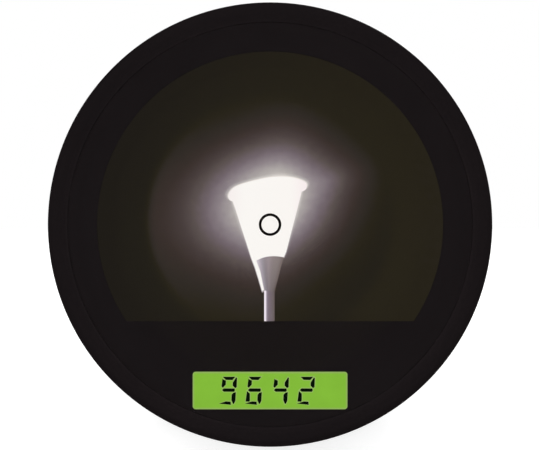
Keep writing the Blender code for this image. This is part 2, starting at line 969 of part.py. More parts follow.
# Front plate and the fixed lens sleeve
sleeve_hole_radius = sleeve_radius + fit_gap
flat_plate(
    "front_plate",
    [
        rounded_rectangle(
            body_half_width - front_inset,
            body_half_height - front_inset,
            body_corner_radius - front_inset,
        ),
        arc(sleeve_hole_radius, 0, 2 * math.pi * (round_steps - 1) / round_steps, round_steps - 1),
    ],
    front_plate_thickness,
    (0, station(front_plate_depth + front_plate_thickness / 2), axis_height),
    bare_aluminium,
)
sleeve_bore = sleeve_radius - sleeve_wall
sleeve_flange_end = sleeve_flange_depth + sleeve_flange_length
on_axis(
    "lens_sleeve",
    [
        (sleeve_radius, sleeve_flange_end + sleeve_front_length),
        (sleeve_radius, sleeve_flange_end),
        (sleeve_flange_radius, sleeve_flange_end),
        (sleeve_flange_radius, sleeve_flange_depth),
        (sleeve_radius, sleeve_flange_depth),
        (sleeve_radius, sleeve_rear),
        (sleeve_bore, sleeve_rear),
        (sleeve_bore, sleeve_flange_end + sleeve_front_length),
    ],
    black_anodised,
)

# Focus ring, which turns on the sleeve
focus_ring_bore = sleeve_radius + slide_gap
focus_ring_radius = focus_ring_bore + focus_ring_wall
focus_ring_end = focus_ring_depth + focus_ring_length
on_axis(
    "focus_ring",
    [
        (focus_ring_radius - focus_ring_bevel, focus_ring_end),
        (focus_ring_radius, focus_ring_end - focus_ring_bevel),
        (focus_ring_radius, focus_ring_depth + focus_ring_bevel),
        (focus_ring_radius - focus_ring_bevel, focus_ring_depth),
        (focus_ring_bore, focus_ring_depth),
        (focus_ring_bore, focus_ring_end),
    ],
    black_rubber,
    fine_steps,
)

# Objective: barrel, lenses and retaining ring, which slide in the sleeve
barrel_radius = sleeve_bore - slide_gap
barrel_bore = barrel_radius - barrel_wall
ledge_bore = barrel_bore - lens_ledge
barrel_head_end = barrel_head_depth + barrel_head_length
barrel_rear = sleeve_rear
hood_start = barrel_head_end - hood_depth
lens_ring_depth = hood_start - lens_ring_length
front_lens_depth = lens_ring_depth - fit_gap - front_lens_edge
front_ledge_end = front_lens_depth - fit_gap
rear_ledge_depth = barrel_rear + rear_lens_setback + rear_lens_bulge + rear_lens_edge + fit_gap
objective_barrel = on_axis(
    "objective_barrel",
    [
        (barrel_head_radius - barrel_head_bevel, barrel_head_end),
        (barrel_head_radius, barrel_head_end - barrel_head_bevel),
        (barrel_head_radius, barrel_head_depth),
        (barrel_radius, barrel_head_depth),
        (barrel_radius, barrel_rear),
        (barrel_bore, barrel_rear),
        (barrel_bore, rear_ledge_depth),
        (ledge_bore, rear_ledge_depth),
        (ledge_bore, rear_ledge_depth + lens_ledge_length),
        (barrel_bore, rear_ledge_depth + lens_ledge_length),
        (barrel_bore, front_ledge_end - lens_ledge_length),
        (ledge_bore, front_ledge_end - lens_ledge_length),
        (ledge_bore, front_ledge_end),
        (barrel_bore, front_ledge_end),
        (barrel_bore, hood_start),
        (hood_mouth_radius, barrel_head_end),
    ],
    black_anodised,
)
objective_lens_radius = barrel_bore - fit_gap
front_lens = on_axis(
    "front_lens",
    lens_outline(
        objective_lens_radius, front_lens_depth, front_lens_edge, front_lens_bulge, 0, 3
    ),
    clear_glass,
)
rear_lens_depth = rear_ledge_depth - fit_gap - rear_lens_edge
rear_lens = on_axis(
    "rear_lens",
    lens_outline(objective_lens_radius, rear_lens_depth, rear_lens_edge, 0, rear_lens_bulge, 2),
    clear_glass,
)
lens_ring = on_axis(
    "lens_retaining_ring",
    pipe(
        objective_lens_radius,
        objective_lens_radius - lens_ring_wall,
        lens_ring_depth,
        lens_ring_depth + lens_ring_length,
    ),
    black_anodised,
)
carry(
    frame_at("objective_slide", (0, station(0), axis_height)),
    objective_barrel,
    front_lens,
    rear_lens,
    lens_ring,
)

# Optical bench: a channel between two rings, with the prism's ribs and the splitter's seat
bench_front_end = front_plate_depth - fit_gap
bench_top = axis_height - bench_drop
bench_floor_start = bench_rear_depth + bench_ring_thickness / 2
bench_floor_end = bench_lip_depth + bench_lip_thickness / 2
optical_bench = block(
    "optical_bench",
    (bench_width, bench_floor_end - bench_floor_start, bench_thickness),
    (0, station((bench_floor_start + bench_floor_end) / 2), bench_top - bench_thickness / 2),
    cast_aluminium,
)
bench_ring_bore = bench_drop + bench_thickness / 2
rear_ring = on_axis(
    "bench_rear_ring",
    pipe(
        bench_ring_radius,
        bench_ring_bore,
        bench_rear_depth,
        bench_rear_depth + bench_ring_thickness,
    ),
    cast_aluminium,
    group=cutters,
)
front_ring = on_axis(
    "bench_front_ring",
    [
        (bench_ring_radius, bench_front_end),
        (bench_ring_radius, bench_lip_depth),
        (bench_lip_bore, bench_lip_depth),
        (bench_lip_bore, bench_lip_end),
        (sleeve_hole_radius, bench_lip_end),
        (sleeve_hole_radius, bench_front_end),
    ],
    cast_aluminium,
    group=cutters,
)
join(optical_bench, rear_ring, front_ring)
bench_wall_end = front_boss_start - fit_gap
for side in (-1, 1):
    bench_wall = block(
        f"bench_wall_{side}",
        (
            bench_wall_thickness,
            bench_wall_end - tray_start,
            bench_wall_height + bench_thickness / 2,
        ),
        (
            side * (bench_width - bench_wall_thickness) / 2,
            station((tray_start + bench_wall_end) / 2),
            bench_top + (bench_wall_height - bench_thickness / 2) / 2,
        ),
        cast_aluminium,
        group=cutters,
    )
    join(optical_bench, bench_wall)
prism_bottom = axis_height - prism_height / 2
for number, side in enumerate((-1, 1)):
    rib = block(
        f"prism_rib_{number}",
        (
            prism_rib_width,
            prism_rib_length,
            prism_bottom - fit_gap - bench_top + bench_thickness / 2,
        ),
        (
            0,
            station(prism_depth + side * (prism_base_length / 2 - prism_rib_length)),
            (prism_bottom - fit_gap + bench_top - bench_thickness / 2) / 2,
        ),
        cast_aluminium,
        group=cutters,
    )
    join(optical_bench, rib)
splitter_bottom = axis_height - splitter_side / 2
splitter_seat = block(
    "splitter_seat",
    (
        splitter_seat_width,
        splitter_seat_length,
        splitter_bottom - fit_gap - bench_top + bench_thickness / 2,
    ),
    (
        0,
        station(splitter_depth),
        (splitter_bottom - fit_gap + bench_top - bench_thickness / 2) / 2,
    ),
    cast_aluminium,
    group=cutters,
)
join(optical_bench, splitter_seat)
measuring_hole = rod(
    "measuring_hole",
    measuring_hole_radius,
    splitter_bottom - bench_top + bench_thickness + 2 * overrun,
    (0, station(splitter_depth), (splitter_bottom + bench_top - bench_thickness) / 2),
    cast_aluminium,
    "Z",
    small_steps,
    cutters,
)
cut(optical_bench, measuring_hole)

# Prism, beam splitter and relay lens on the bench
half_base = prism_base_length / 2
half_top = prism_top_length / 2
half_rise = prism_height / 2
flat_plate(
    "erecting_prism",
    [[(-half_base, -half_rise), (half_base, -half_rise), (half_top, half_rise), (-half_top, half_rise)]],
    prism_width,
    (0, station(prism_depth), axis_height),
    clear_glass,
    (math.radians(90), 0, math.radians(90)),
)
block(
    "beam_splitter",
    (splitter_side, splitter_side, splitter_side),
    (0, station(splitter_depth), axis_height),
    clear_glass,
)
relay_cell_radius = bench_drop - fit_gap
relay_bore = relay_cell_radius - relay_cell_wall
relay_ledge_end = relay_start + relay_ledge
on_axis(
    "relay_cell",
    [
        (relay_cell_radius, relay_start + relay_cell_length),
        (relay_cell_radius, relay_start),
        (relay_bore - relay_ledge, relay_start),
        (relay_bore - relay_ledge, relay_ledge_end),
        (relay_bore, relay_ledge_end),
        (relay_bore, relay_start + relay_cell_length),
    ],
    matt_black,
    28,
)
on_axis(
    "relay_lens",
    lens_outline(
        relay_bore - fit_gap,
        relay_ledge_end + fit_gap,
        relay_lens_edge,
        relay_lens_bulge,
        0,
        2,
    ),
    clear_glass,
    28,
)

# Measuring branch: aperture, filter and photodiode in a tube below the bench
detector_top = bench_top - bench_thickness - fit_gap
detector_bore = detector_radius - detector_wall
detector_y = station(splitter_depth)
turned(
    "detector_housing",
    pipe(detector_radius, detector_bore, detector_top - detector_length, detector_top),
    matt_black,
    (0, detector_y, 0),
    "Z",
    24,
)
insert_radius = detector_bore - fit_gap
aperture_top = detector_top - fit_gap
aperture_bottom = aperture_top - aperture_thickness
turned(
    "measuring_aperture",
    pipe(insert_radius, aperture_radius, aperture_bottom, aperture_top),
    black_anodised,
    (0, detector_y, 0),
    "Z",
    24,
)
filter_top = aperture_bottom - fit_gap
filter_bottom = filter_top - filter_thickness
rod(
    "luminosity_filter",
    insert_radius,
    filter_thickness,
    (0, detector_y, (filter_top + filter_bottom) / 2),
    green_filter,
    "Z",
    24,
)
diode_top = filter_bottom - fit_gap
turned(
    "photodiode",
    [
        (0, diode_top),
        (insert_radius, diode_top),
        (insert_radius, diode_top - photodiode_rim_thickness),
        (photodiode_can_radius, diode_top - photodiode_rim_thickness),
        (photodiode_can_radius, diode_top - photodiode_rim_thickness - photodiode_can_length),
        (0, diode_top - photodiode_rim_thickness - photodiode_can_length),
    ],
    steel,
    (0, detector_y, 0),
    "Z",
    24,
)

# Battery box: a tray that is open to the right, with two cells and their contacts
tray_right = right_inside - fit_gap
tray_left = tray_right - tray_inner_width - box_wall
battery_box = block(
    "battery_box",
    (tray_right - tray_left, tray_length, tray_height),
    ((tray_left + tray_right) / 2, station(box_depth), axis_height),
    matt_black,
)
tray_hollow = block(
    "tray_hollow",
    (tray_inner_width + overrun, tray_inner_length, tray_inner_height),
    (tray_right + (overrun - tray_inner_width) / 2, station(box_depth), axis_height),
    matt_black,
    group=cutters,
)
cut(battery_box, tray_hollow)
cell_x = tray_right - fit_gap - cell_radius
cell_rise = cell_radius + cell_spacing / 2
cell_outline = [
    (0, cell_length / 2),
    (cell_nub_radius, cell_length / 2),
    (cell_nub_radius, cell_length / 2 - cell_nub_length),
    (cell_radius, cell_length / 2 - cell_nub_length),
    (cell_radius, -cell_length / 2),
    (0, -cell_length / 2),
]
for name, rise, turn in (
    ("battery_cell_upper", cell_rise, math.radians(-90)),
    ("battery_cell_lower", -cell_rise, math.radians(90)),
):
    cell = turned(
        name, cell_outline, cell_jacket, (cell_x, station(box_depth), axis_height + rise), "Y", 20
    )
    cell.rotation_euler = (turn, 0, 0)
for name, side in (("battery_contact_rear", -1), ("battery_contact_front", 1)):
    contact_y = station(box_depth) + side * (
        tray_inner_length / 2 - fit_gap - contact_thickness / 2
    )
    contact = block(
        name,
        (contact_width, contact_thickness, tray_inner_height - 2 * fit_gap),
        (cell_x, contact_y, axis_height),
        brass,
    )
    for number, rise in enumerate((-cell_rise, cell_rise)):
        bump = rod(
            f"{name}_bump_{number}",
            contact_bump_radius,
            contact_bump_length + contact_thickness / 2,
            (
                cell_x,
                contact_y - side * (contact_bump_length + contact_thickness / 2) / 2,
                axis_height + rise,
            ),
            brass,
            "Y",
            12,
            cutters,
        )
        join(contact, bump)

# Battery door: a panel whose lower edge is a knuckle round its pin, and a sliding latch
door_x = (right_side + right_inside) / 2
door_length = tray_length + 2 * door_margin
knuckle_radius = door_thickness / 2
door_axis_z = axis_height - tray_height / 2 - door_margin
door_top = axis_height + tray_height / 2 + door_margin
door_y = station(box_depth)
battery_door = block(
    "battery_door",
    (door_thickness, door_length, door_top - door_axis_z),
    (door_x, door_y, (door_axis_z + door_top) / 2),
    graphite_abs,
)
knuckle = rod(
    "door_knuckle",
    knuckle_radius,
    door_length,
    (door_x, door_y, door_axis_z),
    graphite_abs,
    "Y",
    16,
    cutters,
)
join(battery_door, knuckle)
pin_bore = rod(
    "door_pin_bore",
    door_pin_radius + door_pin_gap,
    door_length + 2 * door_pin_overlap + 2 * overrun,
    (door_x, door_y, door_axis_z),
    graphite_abs,
    "Y",
    12,
    cutters,
)
cut(battery_door, pin_bore)
door_opening_bottom = door_axis_z - knuckle_radius - door_edge_gap
door_opening_top = door_top + door_edge_gap
door_opening = block(
    "door_opening",
    (
        housing_wall + 2 * overrun,
        door_length + 2 * door_edge_gap,
        door_opening_top - door_opening_bottom,
    ),
    (door_x, door_y, (door_opening_top + door_opening_bottom) / 2),
    graphite_abs,
    group=cutters,
)
pin_hole = rod(
    "door_pin_hole",
    door_pin_radius + door_pin_gap,
    door_length + 2 * (door_edge_gap + door_pin_overlap),
    (door_x, door_y, door_axis_z),
    graphite_abs,
    "Y",
    12,
    cutters,
)
cut(right_housing, door_opening, pin_hole)
rod(
    "door_hinge_pin",
    door_pin_radius,
    door_length + 2 * door_pin_overlap,
    (door_x, door_y, door_axis_z),
    steel,
    "Y",
    12,
)
latch_z = door_top - latch_edge
latch_slot = block(
    "latch_slot",
    (
        door_thickness + 2 * overrun,
        latch_neck_width + 2 * fit_gap,
        latch_neck_height + latch_travel + 2 * fit_gap,
    ),
    (door_x, door_y, latch_z + latch_travel / 2),
    graphite_abs,
    group=cutters,
)
cut(battery_door, latch_slot)
door_outside = door_x + door_thickness / 2
door_inside = door_x - door_thickness / 2
battery_latch = block(
    "battery_latch",
    (latch_thickness, latch_width, latch_height),
    (door_outside + fit_gap + latch_thickness / 2, door_y, latch_z),
    light_abs,
)
latch_neck = block(
    "latch_neck",
    (
        door_thickness + 2 * fit_gap + latch_thickness / 2 + latch_tongue_thickness / 2,
        latch_neck_width,
        latch_neck_height,
    ),
    (door_x + (latch_thickness - latch_tongue_thickness) / 4, door_y, latch_z),
    light_abs,
    group=cutters,
)
tongue_top = door_top - fit_gap
tongue_bottom = latch_z - latch_neck_height / 2
latch_tongue = block(
    "latch_tongue",
    (latch_tongue_thickness, latch_width, tongue_top - tongue_bottom),
    (
        door_inside - fit_gap - latch_tongue_thickness / 2,
        door_y,
        (tongue_top + tongue_bottom) / 2,
    ),
    light_abs,
    group=cutters,
)
join(battery_latch, latch_neck, latch_tongue)
tongue_room_bottom = tongue_bottom - fit_gap
tongue_room_top = axis_height + tray_height / 2 + overrun
tongue_room = block(
    "tongue_room",
    (
        2 * (latch_tongue_thickness + fit_gap) + overrun,
        latch_width + 2 * door_margin,
        tongue_room_top - tongue_room_bottom,
    ),
    (tray_right, door_y, (tongue_room_bottom + tongue_room_top) / 2),
    matt_black,
    group=cutters,
)
cut(battery_box, tongue_room)
carry(frame_at("battery_door_hinge", (door_x, door_y, door_axis_z)), battery_door, battery_latch)

# Outside display on the left: window, display cell and board
window_z = axis_height + side_window_rise
board_depth = (rear_screw_depth + front_screw_depth) / 2
display_board_length = front_boss_start - rear_screw_depth - boss_radius - 2 * display_board_gap
window_y = station(board_depth + side_window_shift)
window_opening = block(
    "window_opening",
    (
        housing_wall + 2 * overrun,
        side_window_width + 2 * fit_gap,
        side_window_height + 2 * fit_gap,
    ),
    (left_side + housing_wall / 2, window_y, window_z),
    graphite_abs,
    group=cutters,
)
cut(left_housing, window_opening)
block(
    "side_window",
    (housing_wall + side_window_proud, side_window_width, side_window_height),
    (left_side + (housing_wall - side_window_proud) / 2, window_y, window_z),
    acrylic,
)
display_x = left_inside + fit_gap
block(
    "side_lcd",
    (
        side_display_thickness,
        side_window_width + 2 * side_display_border,
        side_window_height + 2 * side_display_border,
    ),
    (display_x + side_display_thickness / 2, window_y, window_z),
    display_cell,
)
board_x = display_x + side_display_thickness + fit_gap
block(
    "display_board",
    (board_thickness, display_board_length, display_board_height),
    (board_x + board_thickness / 2, station(board_depth), axis_height),
    circuit_board,
)

# Main board with its larger chips, against the bench's left wall
main_board_length = bench_wall_end - tray_start - 2 * main_board_setback
main_board_x = -bench_width / 2 - fit_gap - board_thickness / 2
main_board_z = bench_top - bench_thickness / 2 + main_board_height / 2 + main_board_rise
main_board_y = station((tray_start + bench_wall_end) / 2)
main_board = block(
    "main_board",
    (board_thickness, main_board_length, main_board_height),
    (main_board_x, main_board_y, main_board_z),
    circuit_board,
)
for number, (side, share) in enumerate(zip(chip_sides, chip_depth_shares)):
    chip = block(
        f"chip_{number}",
        (chip_thickness + board_thickness / 2, side, side),
        (
            main_board_x - board_thickness / 4 - chip_thickness / 2,
            main_board_y + main_board_length * (share - 1 / 2),
            main_board_z,
        ),
        circuit_board,
        group=cutters,
    )
    join(main_board, chip)

# Mode key and hold key, each with a flange behind the housing wall
key_z = (
    window_z
    - side_window_height / 2
    - side_display_border
    - key_gap
    - key_flange_margin
    - key_height / 2
)
flange_x = left_inside + fit_gap
for name, side in (("mode_key", -1), ("hold_key", 1)):
    y = window_y + side * key_spacing / 2
    key_hole = block(
        name + "_hole",
        (housing_wall + 2 * overrun, key_length + 2 * fit_gap, key_height + 2 * fit_gap),
        (left_side + housing_wall / 2, y, key_z),
        graphite_abs,
        group=cutters,
    )
    cut(left_housing, key_hole)
    key_reach = key_proud + housing_wall + fit_gap + key_flange_thickness
    key = block(
        name,
        (key_reach, key_length, key_height),
        (left_side - key_proud + key_reach / 2, y, key_z),
        light_abs,
    )
    flange = block(
        name + "_flange",
        (key_flange_thickness, key_length + 2 * key_flange_margin, key_height + 2 * key_flange_margin),
        (flange_x + key_flange_thickness / 2, y, key_z),
        light_abs,
        group=cutters,
    )
    join(key, flange)

# Power switch: a knob outside, a neck through its slot and a plate inside that closes the slot
switch_y = (
    window_y - side_window_width / 2 - side_display_border - switch_gap - switch_knob_length / 2
)
switch_z = axis_height - switch_drop
slot_height = switch_neck_height + switch_travel + 2 * fit_gap
switch_slot = block(
    "switch_slot",
    (housing_wall + 2 * overrun, switch_neck_length + 2 * fit_gap, slot_height),
    (left_side + housing_wall / 2, switch_y, switch_z + switch_travel / 2),
    graphite_abs,
    group=cutters,
)
cut(left_housing, switch_slot)
knob_outside = left_side - fit_gap - switch_knob_thickness
power_switch = block(
    "power_switch",
    (switch_knob_thickness, switch_knob_length, switch_knob_height),
    (knob_outside + switch_knob_thickness / 2, switch_y, switch_z),
    light_abs,
)
plate_inside = left_inside + fit_gap + switch_plate_thickness
neck_start = knob_outside + switch_knob_thickness / 2
neck_end = plate_inside - switch_plate_thickness / 2
switch_neck = block(
    "switch_neck",
    (neck_end - neck_start, switch_neck_length, switch_neck_height),
    ((neck_start + neck_end) / 2, switch_y, switch_z),
    light_abs,
    group=cutters,
)
switch_plate = block(
    "switch_plate",
    (switch_plate_thickness, switch_knob_length, slot_height + switch_travel + 2 * fit_gap),
    (plate_inside - switch_plate_thickness / 2, switch_y, switch_z),
    light_abs,
    group=cutters,
)
join(power_switch, switch_neck, switch_plate)

# Measuring button: guide through the housing's top, switch, spring and cap inside it
button_y = station(housing_depth + housing_length * button_depth_share)
guide_bore = button_radius + fit_gap
guide_radius = guide_bore + guide_wall
guide_hole = rod(
    "guide_hole",
    guide_radius + fit_gap,
    housing_wall + 2 * overrun,
    (0, button_y, housing_top - housing_wall / 2),
    graphite_abs,
    "Z",
    small_steps,
    cutters,
)
cut(left_housing, guide_hole)
cut(right_housing, guide_hole)
guide_bottom = housing_top + fit_gap - guide_length
guide_flange_top = housing_top + fit_gap + guide_flange_thickness
turned(
    "button_guide",
    [
        (guide_flange_radius, guide_flange_top),
        (guide_flange_radius, housing_top + fit_gap),
        (guide_radius, housing_top + fit_gap),
        (guide_radius, guide_bottom),
        (guide_floor_hole, guide_bottom),
        (guide_floor_hole, guide_bottom + guide_floor),
        (guide_bore, guide_bottom + guide_floor),
        (guide_bore, guide_flange_top),
    ],
    bare_aluminium,
    (0, button_y, 0),
    "Z",
    24,
)
switch_bottom = guide_bottom + guide_floor + fit_gap
switch_top = switch_bottom + switch_body_height
turned(
    "measure_switch",
    [
        (0, switch_top + plunger_height),
        (plunger_radius, switch_top + plunger_height),
        (plunger_radius, switch_top),
        (switch_body_radius, switch_top),
        (switch_body_radius, switch_bottom),
        (0, switch_bottom),
    ],
    matt_black,
    (0, button_y, 0),
    "Z",
    16,
)
button_top = guide_flange_top + button_proud
button_bottom = button_top - button_height
button_stem_end = switch_top + plunger_height + button_travel + fit_gap
turned(
    "measure_button",
    [
        (0, button_top),
        (button_radius - button_crown, button_top - button_crown / 4),
        (button_radius, button_top - button_crown),
        (button_radius, button_bottom),
        (button_stem_radius, button_bottom),
        (button_stem_radius, button_stem_end),
        (0, button_stem_end),
    ],
    measure_orange,
    (0, button_y, 0),
    "Z",
    24,
)
spring_bottom = switch_top + fit_gap + spring_wire_radius
spring_top = button_bottom - fit_gap - spring_wire_radius
spring_curve = bpy.data.curves.new("button_spring", "CURVE")
spring_curve.dimensions = "3D"
spring_curve.bevel_depth = spring_wire_radius
spring_curve.bevel_resolution = 1
spring_curve.use_fill_caps = True
coil = spring_curve.splines.new("POLY")
coil_points = spring_turns * spring_turn_points + 1
coil.points.add(coil_points - 1)
for place, point in enumerate(coil.points):
    turn = 2 * math.pi * place / spring_turn_points
    height = spring_bottom + (spring_top - spring_bottom) * place / (coil_points - 1)
    point.co = (spring_radius * math.cos(turn), spring_radius * math.sin(turn), height, 1)
spring_guide = bpy.data.objects.new("spring_guide", spring_curve)
cutters.objects.link(spring_guide)
spring_mesh = evaluated_mesh(spring_guide)
bpy.data.objects.remove(spring_guide, do_unlink=True)
spring_shape = bmesh.new()
spring_shape.from_mesh(spring_mesh)
bmesh.ops.remove_doubles(spring_shape, verts=spring_shape.verts, dist=weld_distance)
spring_shape.to_mesh(spring_mesh)
spring_shape.free()
put("button_spring", spring_mesh, steel, (0, button_y, 0))

# Interface port in the left wall, with a rubber cover on an upright hinge
port_y = station(bench_lip_depth - fit_gap - port_width / 2)
port_outside = left_side + port_recess
port_opening = block(
    "port_opening",
    (housing_wall + 2 * overrun, port_width + 2 * fit_gap, port_height + 2 * fit_gap),
    (left_side + housing_wall / 2, port_y, axis_height),
    graphite_abs,
    group=cutters,
)
cut(left_housing, port_opening)
interface_port = block(
    "interface_port",
    (port_length, port_width, port_height),
    (port_outside + port_length / 2, port_y, axis_height),
    steel,
)
port_mouth = block(
    "port_mouth",
    (port_length, port_width - 2 * port_wall, port_height - 2 * port_wall),
    (port_outside + port_length / 2 - port_wall, port_y, axis_height),
    steel,
    group=cutters,
)
cut(interface_port, port_mouth)
cover_x = left_side - fit_gap - cover_thickness / 2
cover_hinge_y = port_y - cover_length / 2
port_cover = block(
    "port_cover",
    (cover_thickness, cover_length, cover_height),
    (cover_x, port_y, axis_height),
    black_rubber,
)
plug_reach = cover_thickness / 2 + fit_gap + port_recess + cover_plug_depth
cover_plug = block(
    "cover_plug",
    (plug_reach, cover_plug_length, cover_plug_height),
    (cover_x + plug_reach / 2, port_y - cover_plug_offset, axis_height),
    black_rubber,
    group=cutters,
)
join(port_cover, cover_plug)
carry(frame_at("port_cover_hinge", (cover_x, cover_hinge_y, axis_height)), port_cover)

# Strap lugs: a loop outside each side, on a shank through the wall
for name, side in (("left_strap_lug", -1), ("right_strap_lug", 1)):
    lug_y = station(rear_screw_depth - lug_screw_gap)
    lug_start = body_half_width + fit_gap
    lug = block(
        name,
        (lug_reach, lug_thickness, lug_height),
        (side * (lug_start + lug_reach / 2), lug_y, axis_height),
        steel,
        lug_thickness / 4,
    )
    shank = rod(
        name + "_shank",
        lug_shank_radius,
        lug_shank_length + join_depth,
        (side * (lug_start + join_depth - (lug_shank_length + join_depth) / 2), lug_y, axis_height),
        steel,
        "X",
        12,
        cutters,
    )
    join(lug, shank)
    slot = block(
        name + "_slot",
        (lug_slot_reach, lug_thickness + 2 * overrun, lug_slot_height),
        (side * (lug_start + lug_slot_setback + lug_slot_reach / 2), lug_y, axis_height),
        steel,
        group=cutters,
    )
    cut(lug, slot)
    shank_hole = rod(
        name + "_hole",
        lug_shank_radius + fit_gap,
        housing_wall + 2 * overrun,
        (side * (body_half_width - housing_wall / 2), lug_y, axis_height),
        graphite_abs,
        "X",
        12,
        cutters,
    )
    cut(left_housing if side < 0 else right_housing, shank_hole)
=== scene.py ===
import math

import bmesh
import bpy
from mathutils import Matrix, Vector


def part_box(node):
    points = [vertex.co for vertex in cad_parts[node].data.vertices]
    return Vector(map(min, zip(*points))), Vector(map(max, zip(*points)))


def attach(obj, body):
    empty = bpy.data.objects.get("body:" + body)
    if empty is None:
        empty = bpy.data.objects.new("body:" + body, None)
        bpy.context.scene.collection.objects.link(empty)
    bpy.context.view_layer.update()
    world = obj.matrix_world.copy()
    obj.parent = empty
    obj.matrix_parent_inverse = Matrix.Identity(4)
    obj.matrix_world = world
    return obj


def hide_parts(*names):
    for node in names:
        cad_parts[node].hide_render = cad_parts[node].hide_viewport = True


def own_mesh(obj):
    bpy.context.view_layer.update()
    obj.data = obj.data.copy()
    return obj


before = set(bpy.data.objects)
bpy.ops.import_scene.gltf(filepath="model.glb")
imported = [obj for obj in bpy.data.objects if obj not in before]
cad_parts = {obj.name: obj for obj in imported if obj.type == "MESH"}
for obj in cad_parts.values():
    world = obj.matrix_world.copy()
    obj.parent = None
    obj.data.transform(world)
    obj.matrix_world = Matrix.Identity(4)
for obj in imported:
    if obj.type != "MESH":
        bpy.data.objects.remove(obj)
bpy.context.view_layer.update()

# The view: the eye close behind the eyecup, looking along the line of sight. Sizes are millimetres, as
# depth ahead of the eyecup's rim and distance from the line of sight, or as places in the meter's frame.
# On the picture they are columns, of which the view is 540 wide, and 525 make the eye's focal length.
MM = 0.001
EYE_DISTANCE = 56.75
COLUMNS, FOCAL_COLUMNS = 540, 525
SENSOR_WIDTH = 36
shift_across, shift_up = -0.07, -0.4


def centre(node):
    """The middle of a CAD node's box in the meter's frame, in millimetres to the nearest micrometre."""
    return [round((low + high) / 2 / MM, 3) for low, high in zip(*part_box(node))]


def placed(name, data, location=(0, 0, 0)):
    """A new object in the scene."""
    thing = bpy.data.objects.new(name, data)
    thing.location = location
    bpy.context.scene.collection.objects.link(thing)
    return thing


rim_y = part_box("eyecup")[0].y
axis_z = (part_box("finder_barrel")[0].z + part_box("finder_barrel")[1].z) / 2
sight_z = centre("finder_barrel")[2]
eye_line = Vector((0, rim_y, axis_z))

eye = placed("eye", bpy.data.cameras.new("eye"), eye_line - Vector((0, EYE_DISTANCE * MM, 0)))
eye.rotation_euler = (math.radians(90), 0, 0)
eye.data.lens = SENSOR_WIDTH * FOCAL_COLUMNS / COLUMNS
eye.data.sensor_width = SENSOR_WIDTH
eye.data.shift_x = shift_across / COLUMNS
eye.data.shift_y = shift_up / COLUMNS
eye.data.clip_start = 0.005
eye.data.clip_end = 50
bpy.context.scene.camera = eye
bpy.context.scene.view_settings.view_transform = "Standard"


# The studio: a white paper sweep under soft daylight. Paper is matt and neutral, and the
# meter's own shadow stays on it. Seen or mirrored, paper and air are white; as light they are dimmer.
def linear(code):
    """An sRGB hex colour as linear light, with full alpha."""
    parts = [int(code[place : place + 2], 16) / 255 for place in (1, 3, 5)]
    return tuple(p / 12.92 if p <= 0.04045 else ((p + 0.055) / 1.055) ** 2.4 for p in parts) + (1,)


def plug(tree, node, inputs):
    """Fills a node's inputs with plain values, hex colours, outputs, or nodes for their first output."""
    for name, value in inputs.items():
        if isinstance(value, bpy.types.Node):
            value = value.outputs[0]
        if isinstance(value, bpy.types.NodeSocket):
            tree.links.new(value, node.inputs[name])
        else:
            node.inputs[name].default_value = linear(value) if isinstance(value, str) else value


def add(tree, kind, inputs=None, stops=(), **settings):
    """Adds one shader node with its settings and inputs and, on a ramp, its stops of place and colour."""
    node = tree.nodes.new("ShaderNode" + kind)
    for name, value in settings.items():
        setattr(node, name, value)
    plug(tree, node, inputs or {})
    if stops:
        colours = [(place, linear(tone) if isinstance(tone, str) else tone) for place, tone in stops]
        ramp = node.color_ramp.elements
        ramp[0].position, ramp[0].color = colours[0]
        ramp[1].position, ramp[1].color = colours[-1]
        for position, colour in colours[1:-1]:
            ramp.new(position).color = colour
    return node


def seen(tree):
    """One for light that reaches the eye straight, mirrored or through glass, and nought for other light."""
    path = add(tree, "LightPath").outputs
    mirrored = add(tree, "Math", {0: path["Is Camera Ray"], 1: path["Is Glossy Ray"]}, operation="MAXIMUM")
    return add(tree, "Math", {0: mirrored, 1: path["Is Transmission Ray"]}, operation="MAXIMUM")


air = bpy.data.worlds.new("white air")
bpy.context.scene.world = air
air.use_nodes = True
tree = air.node_tree
tree.nodes.clear()
dim_air = add(tree, "Background", {"Color": "#ffffff", "Strength": 0.6})
white_air = add(tree, "Background", {"Color": "#ffffff", "Strength": 1})
air_mix = add(tree, "MixShader", {0: seen(tree), 1: dim_air, 2: white_air})
add(tree, "OutputWorld", {"Surface": air_mix})

paper = bpy.data.materials.new("white paper")
paper.use_nodes = True
tree = paper.node_tree
tree.nodes.clear()
paper_glow = add(tree, "Emission", {"Color": "#ffffff", "Strength": 0.74})
paper_dark = add(tree, "Emission", {"Color": "#000000", "Strength": 0})
paper_seen = add(tree, "MixShader", {0: seen(tree), 1: paper_dark, 2: paper_glow})
paper_matt = add(tree, "BsdfDiffuse", {"Color": (0.62, 0.62, 0.62, 1)})
add(tree, "OutputMaterial", {"Surface": add(tree, "AddShader", {0: paper_seen, 1: paper_matt})})

paper_mesh = bpy.data.meshes.new("paper")
paper_mesh.from_pydata([(-4, -4, 0), (4, -4, 0), (4, 4, 0), (-4, 4, 0)], [], [(0, 1, 2, 3)])
paper_mesh.materials.append(paper)
placed("paper_sweep", paper_mesh, (0, 0, -0.00005))

for name, place, aim, size, power in (
    ("window_light", (-1.0, -0.15, 0.95), (0, 0, 0.04), 0.9, 6.5),
    ("fill_light", (0.95, 0.0, 0.75), (0, 0, 0.04), 0.9, 4.2),
    ("front_light", (0.25, 1.1, 0.8), (0, 0, 0.04), 0.7, 3.6),
    ("eyecup_light", (0, -0.141, 0.0393), (0, 0, 0.0393), 0.03, 0.034),
):
    lamp = bpy.data.lights.new(name, "AREA")
    lamp.size = size
    lamp.energy = power
    light = placed(name, lamp, place)
    light.visible_camera = False
    light.visible_glossy = name != "eyecup_light"
    light.rotation_euler = (Vector(aim) - Vector(place)).to_track_quat("-Z", "Y").to_euler()


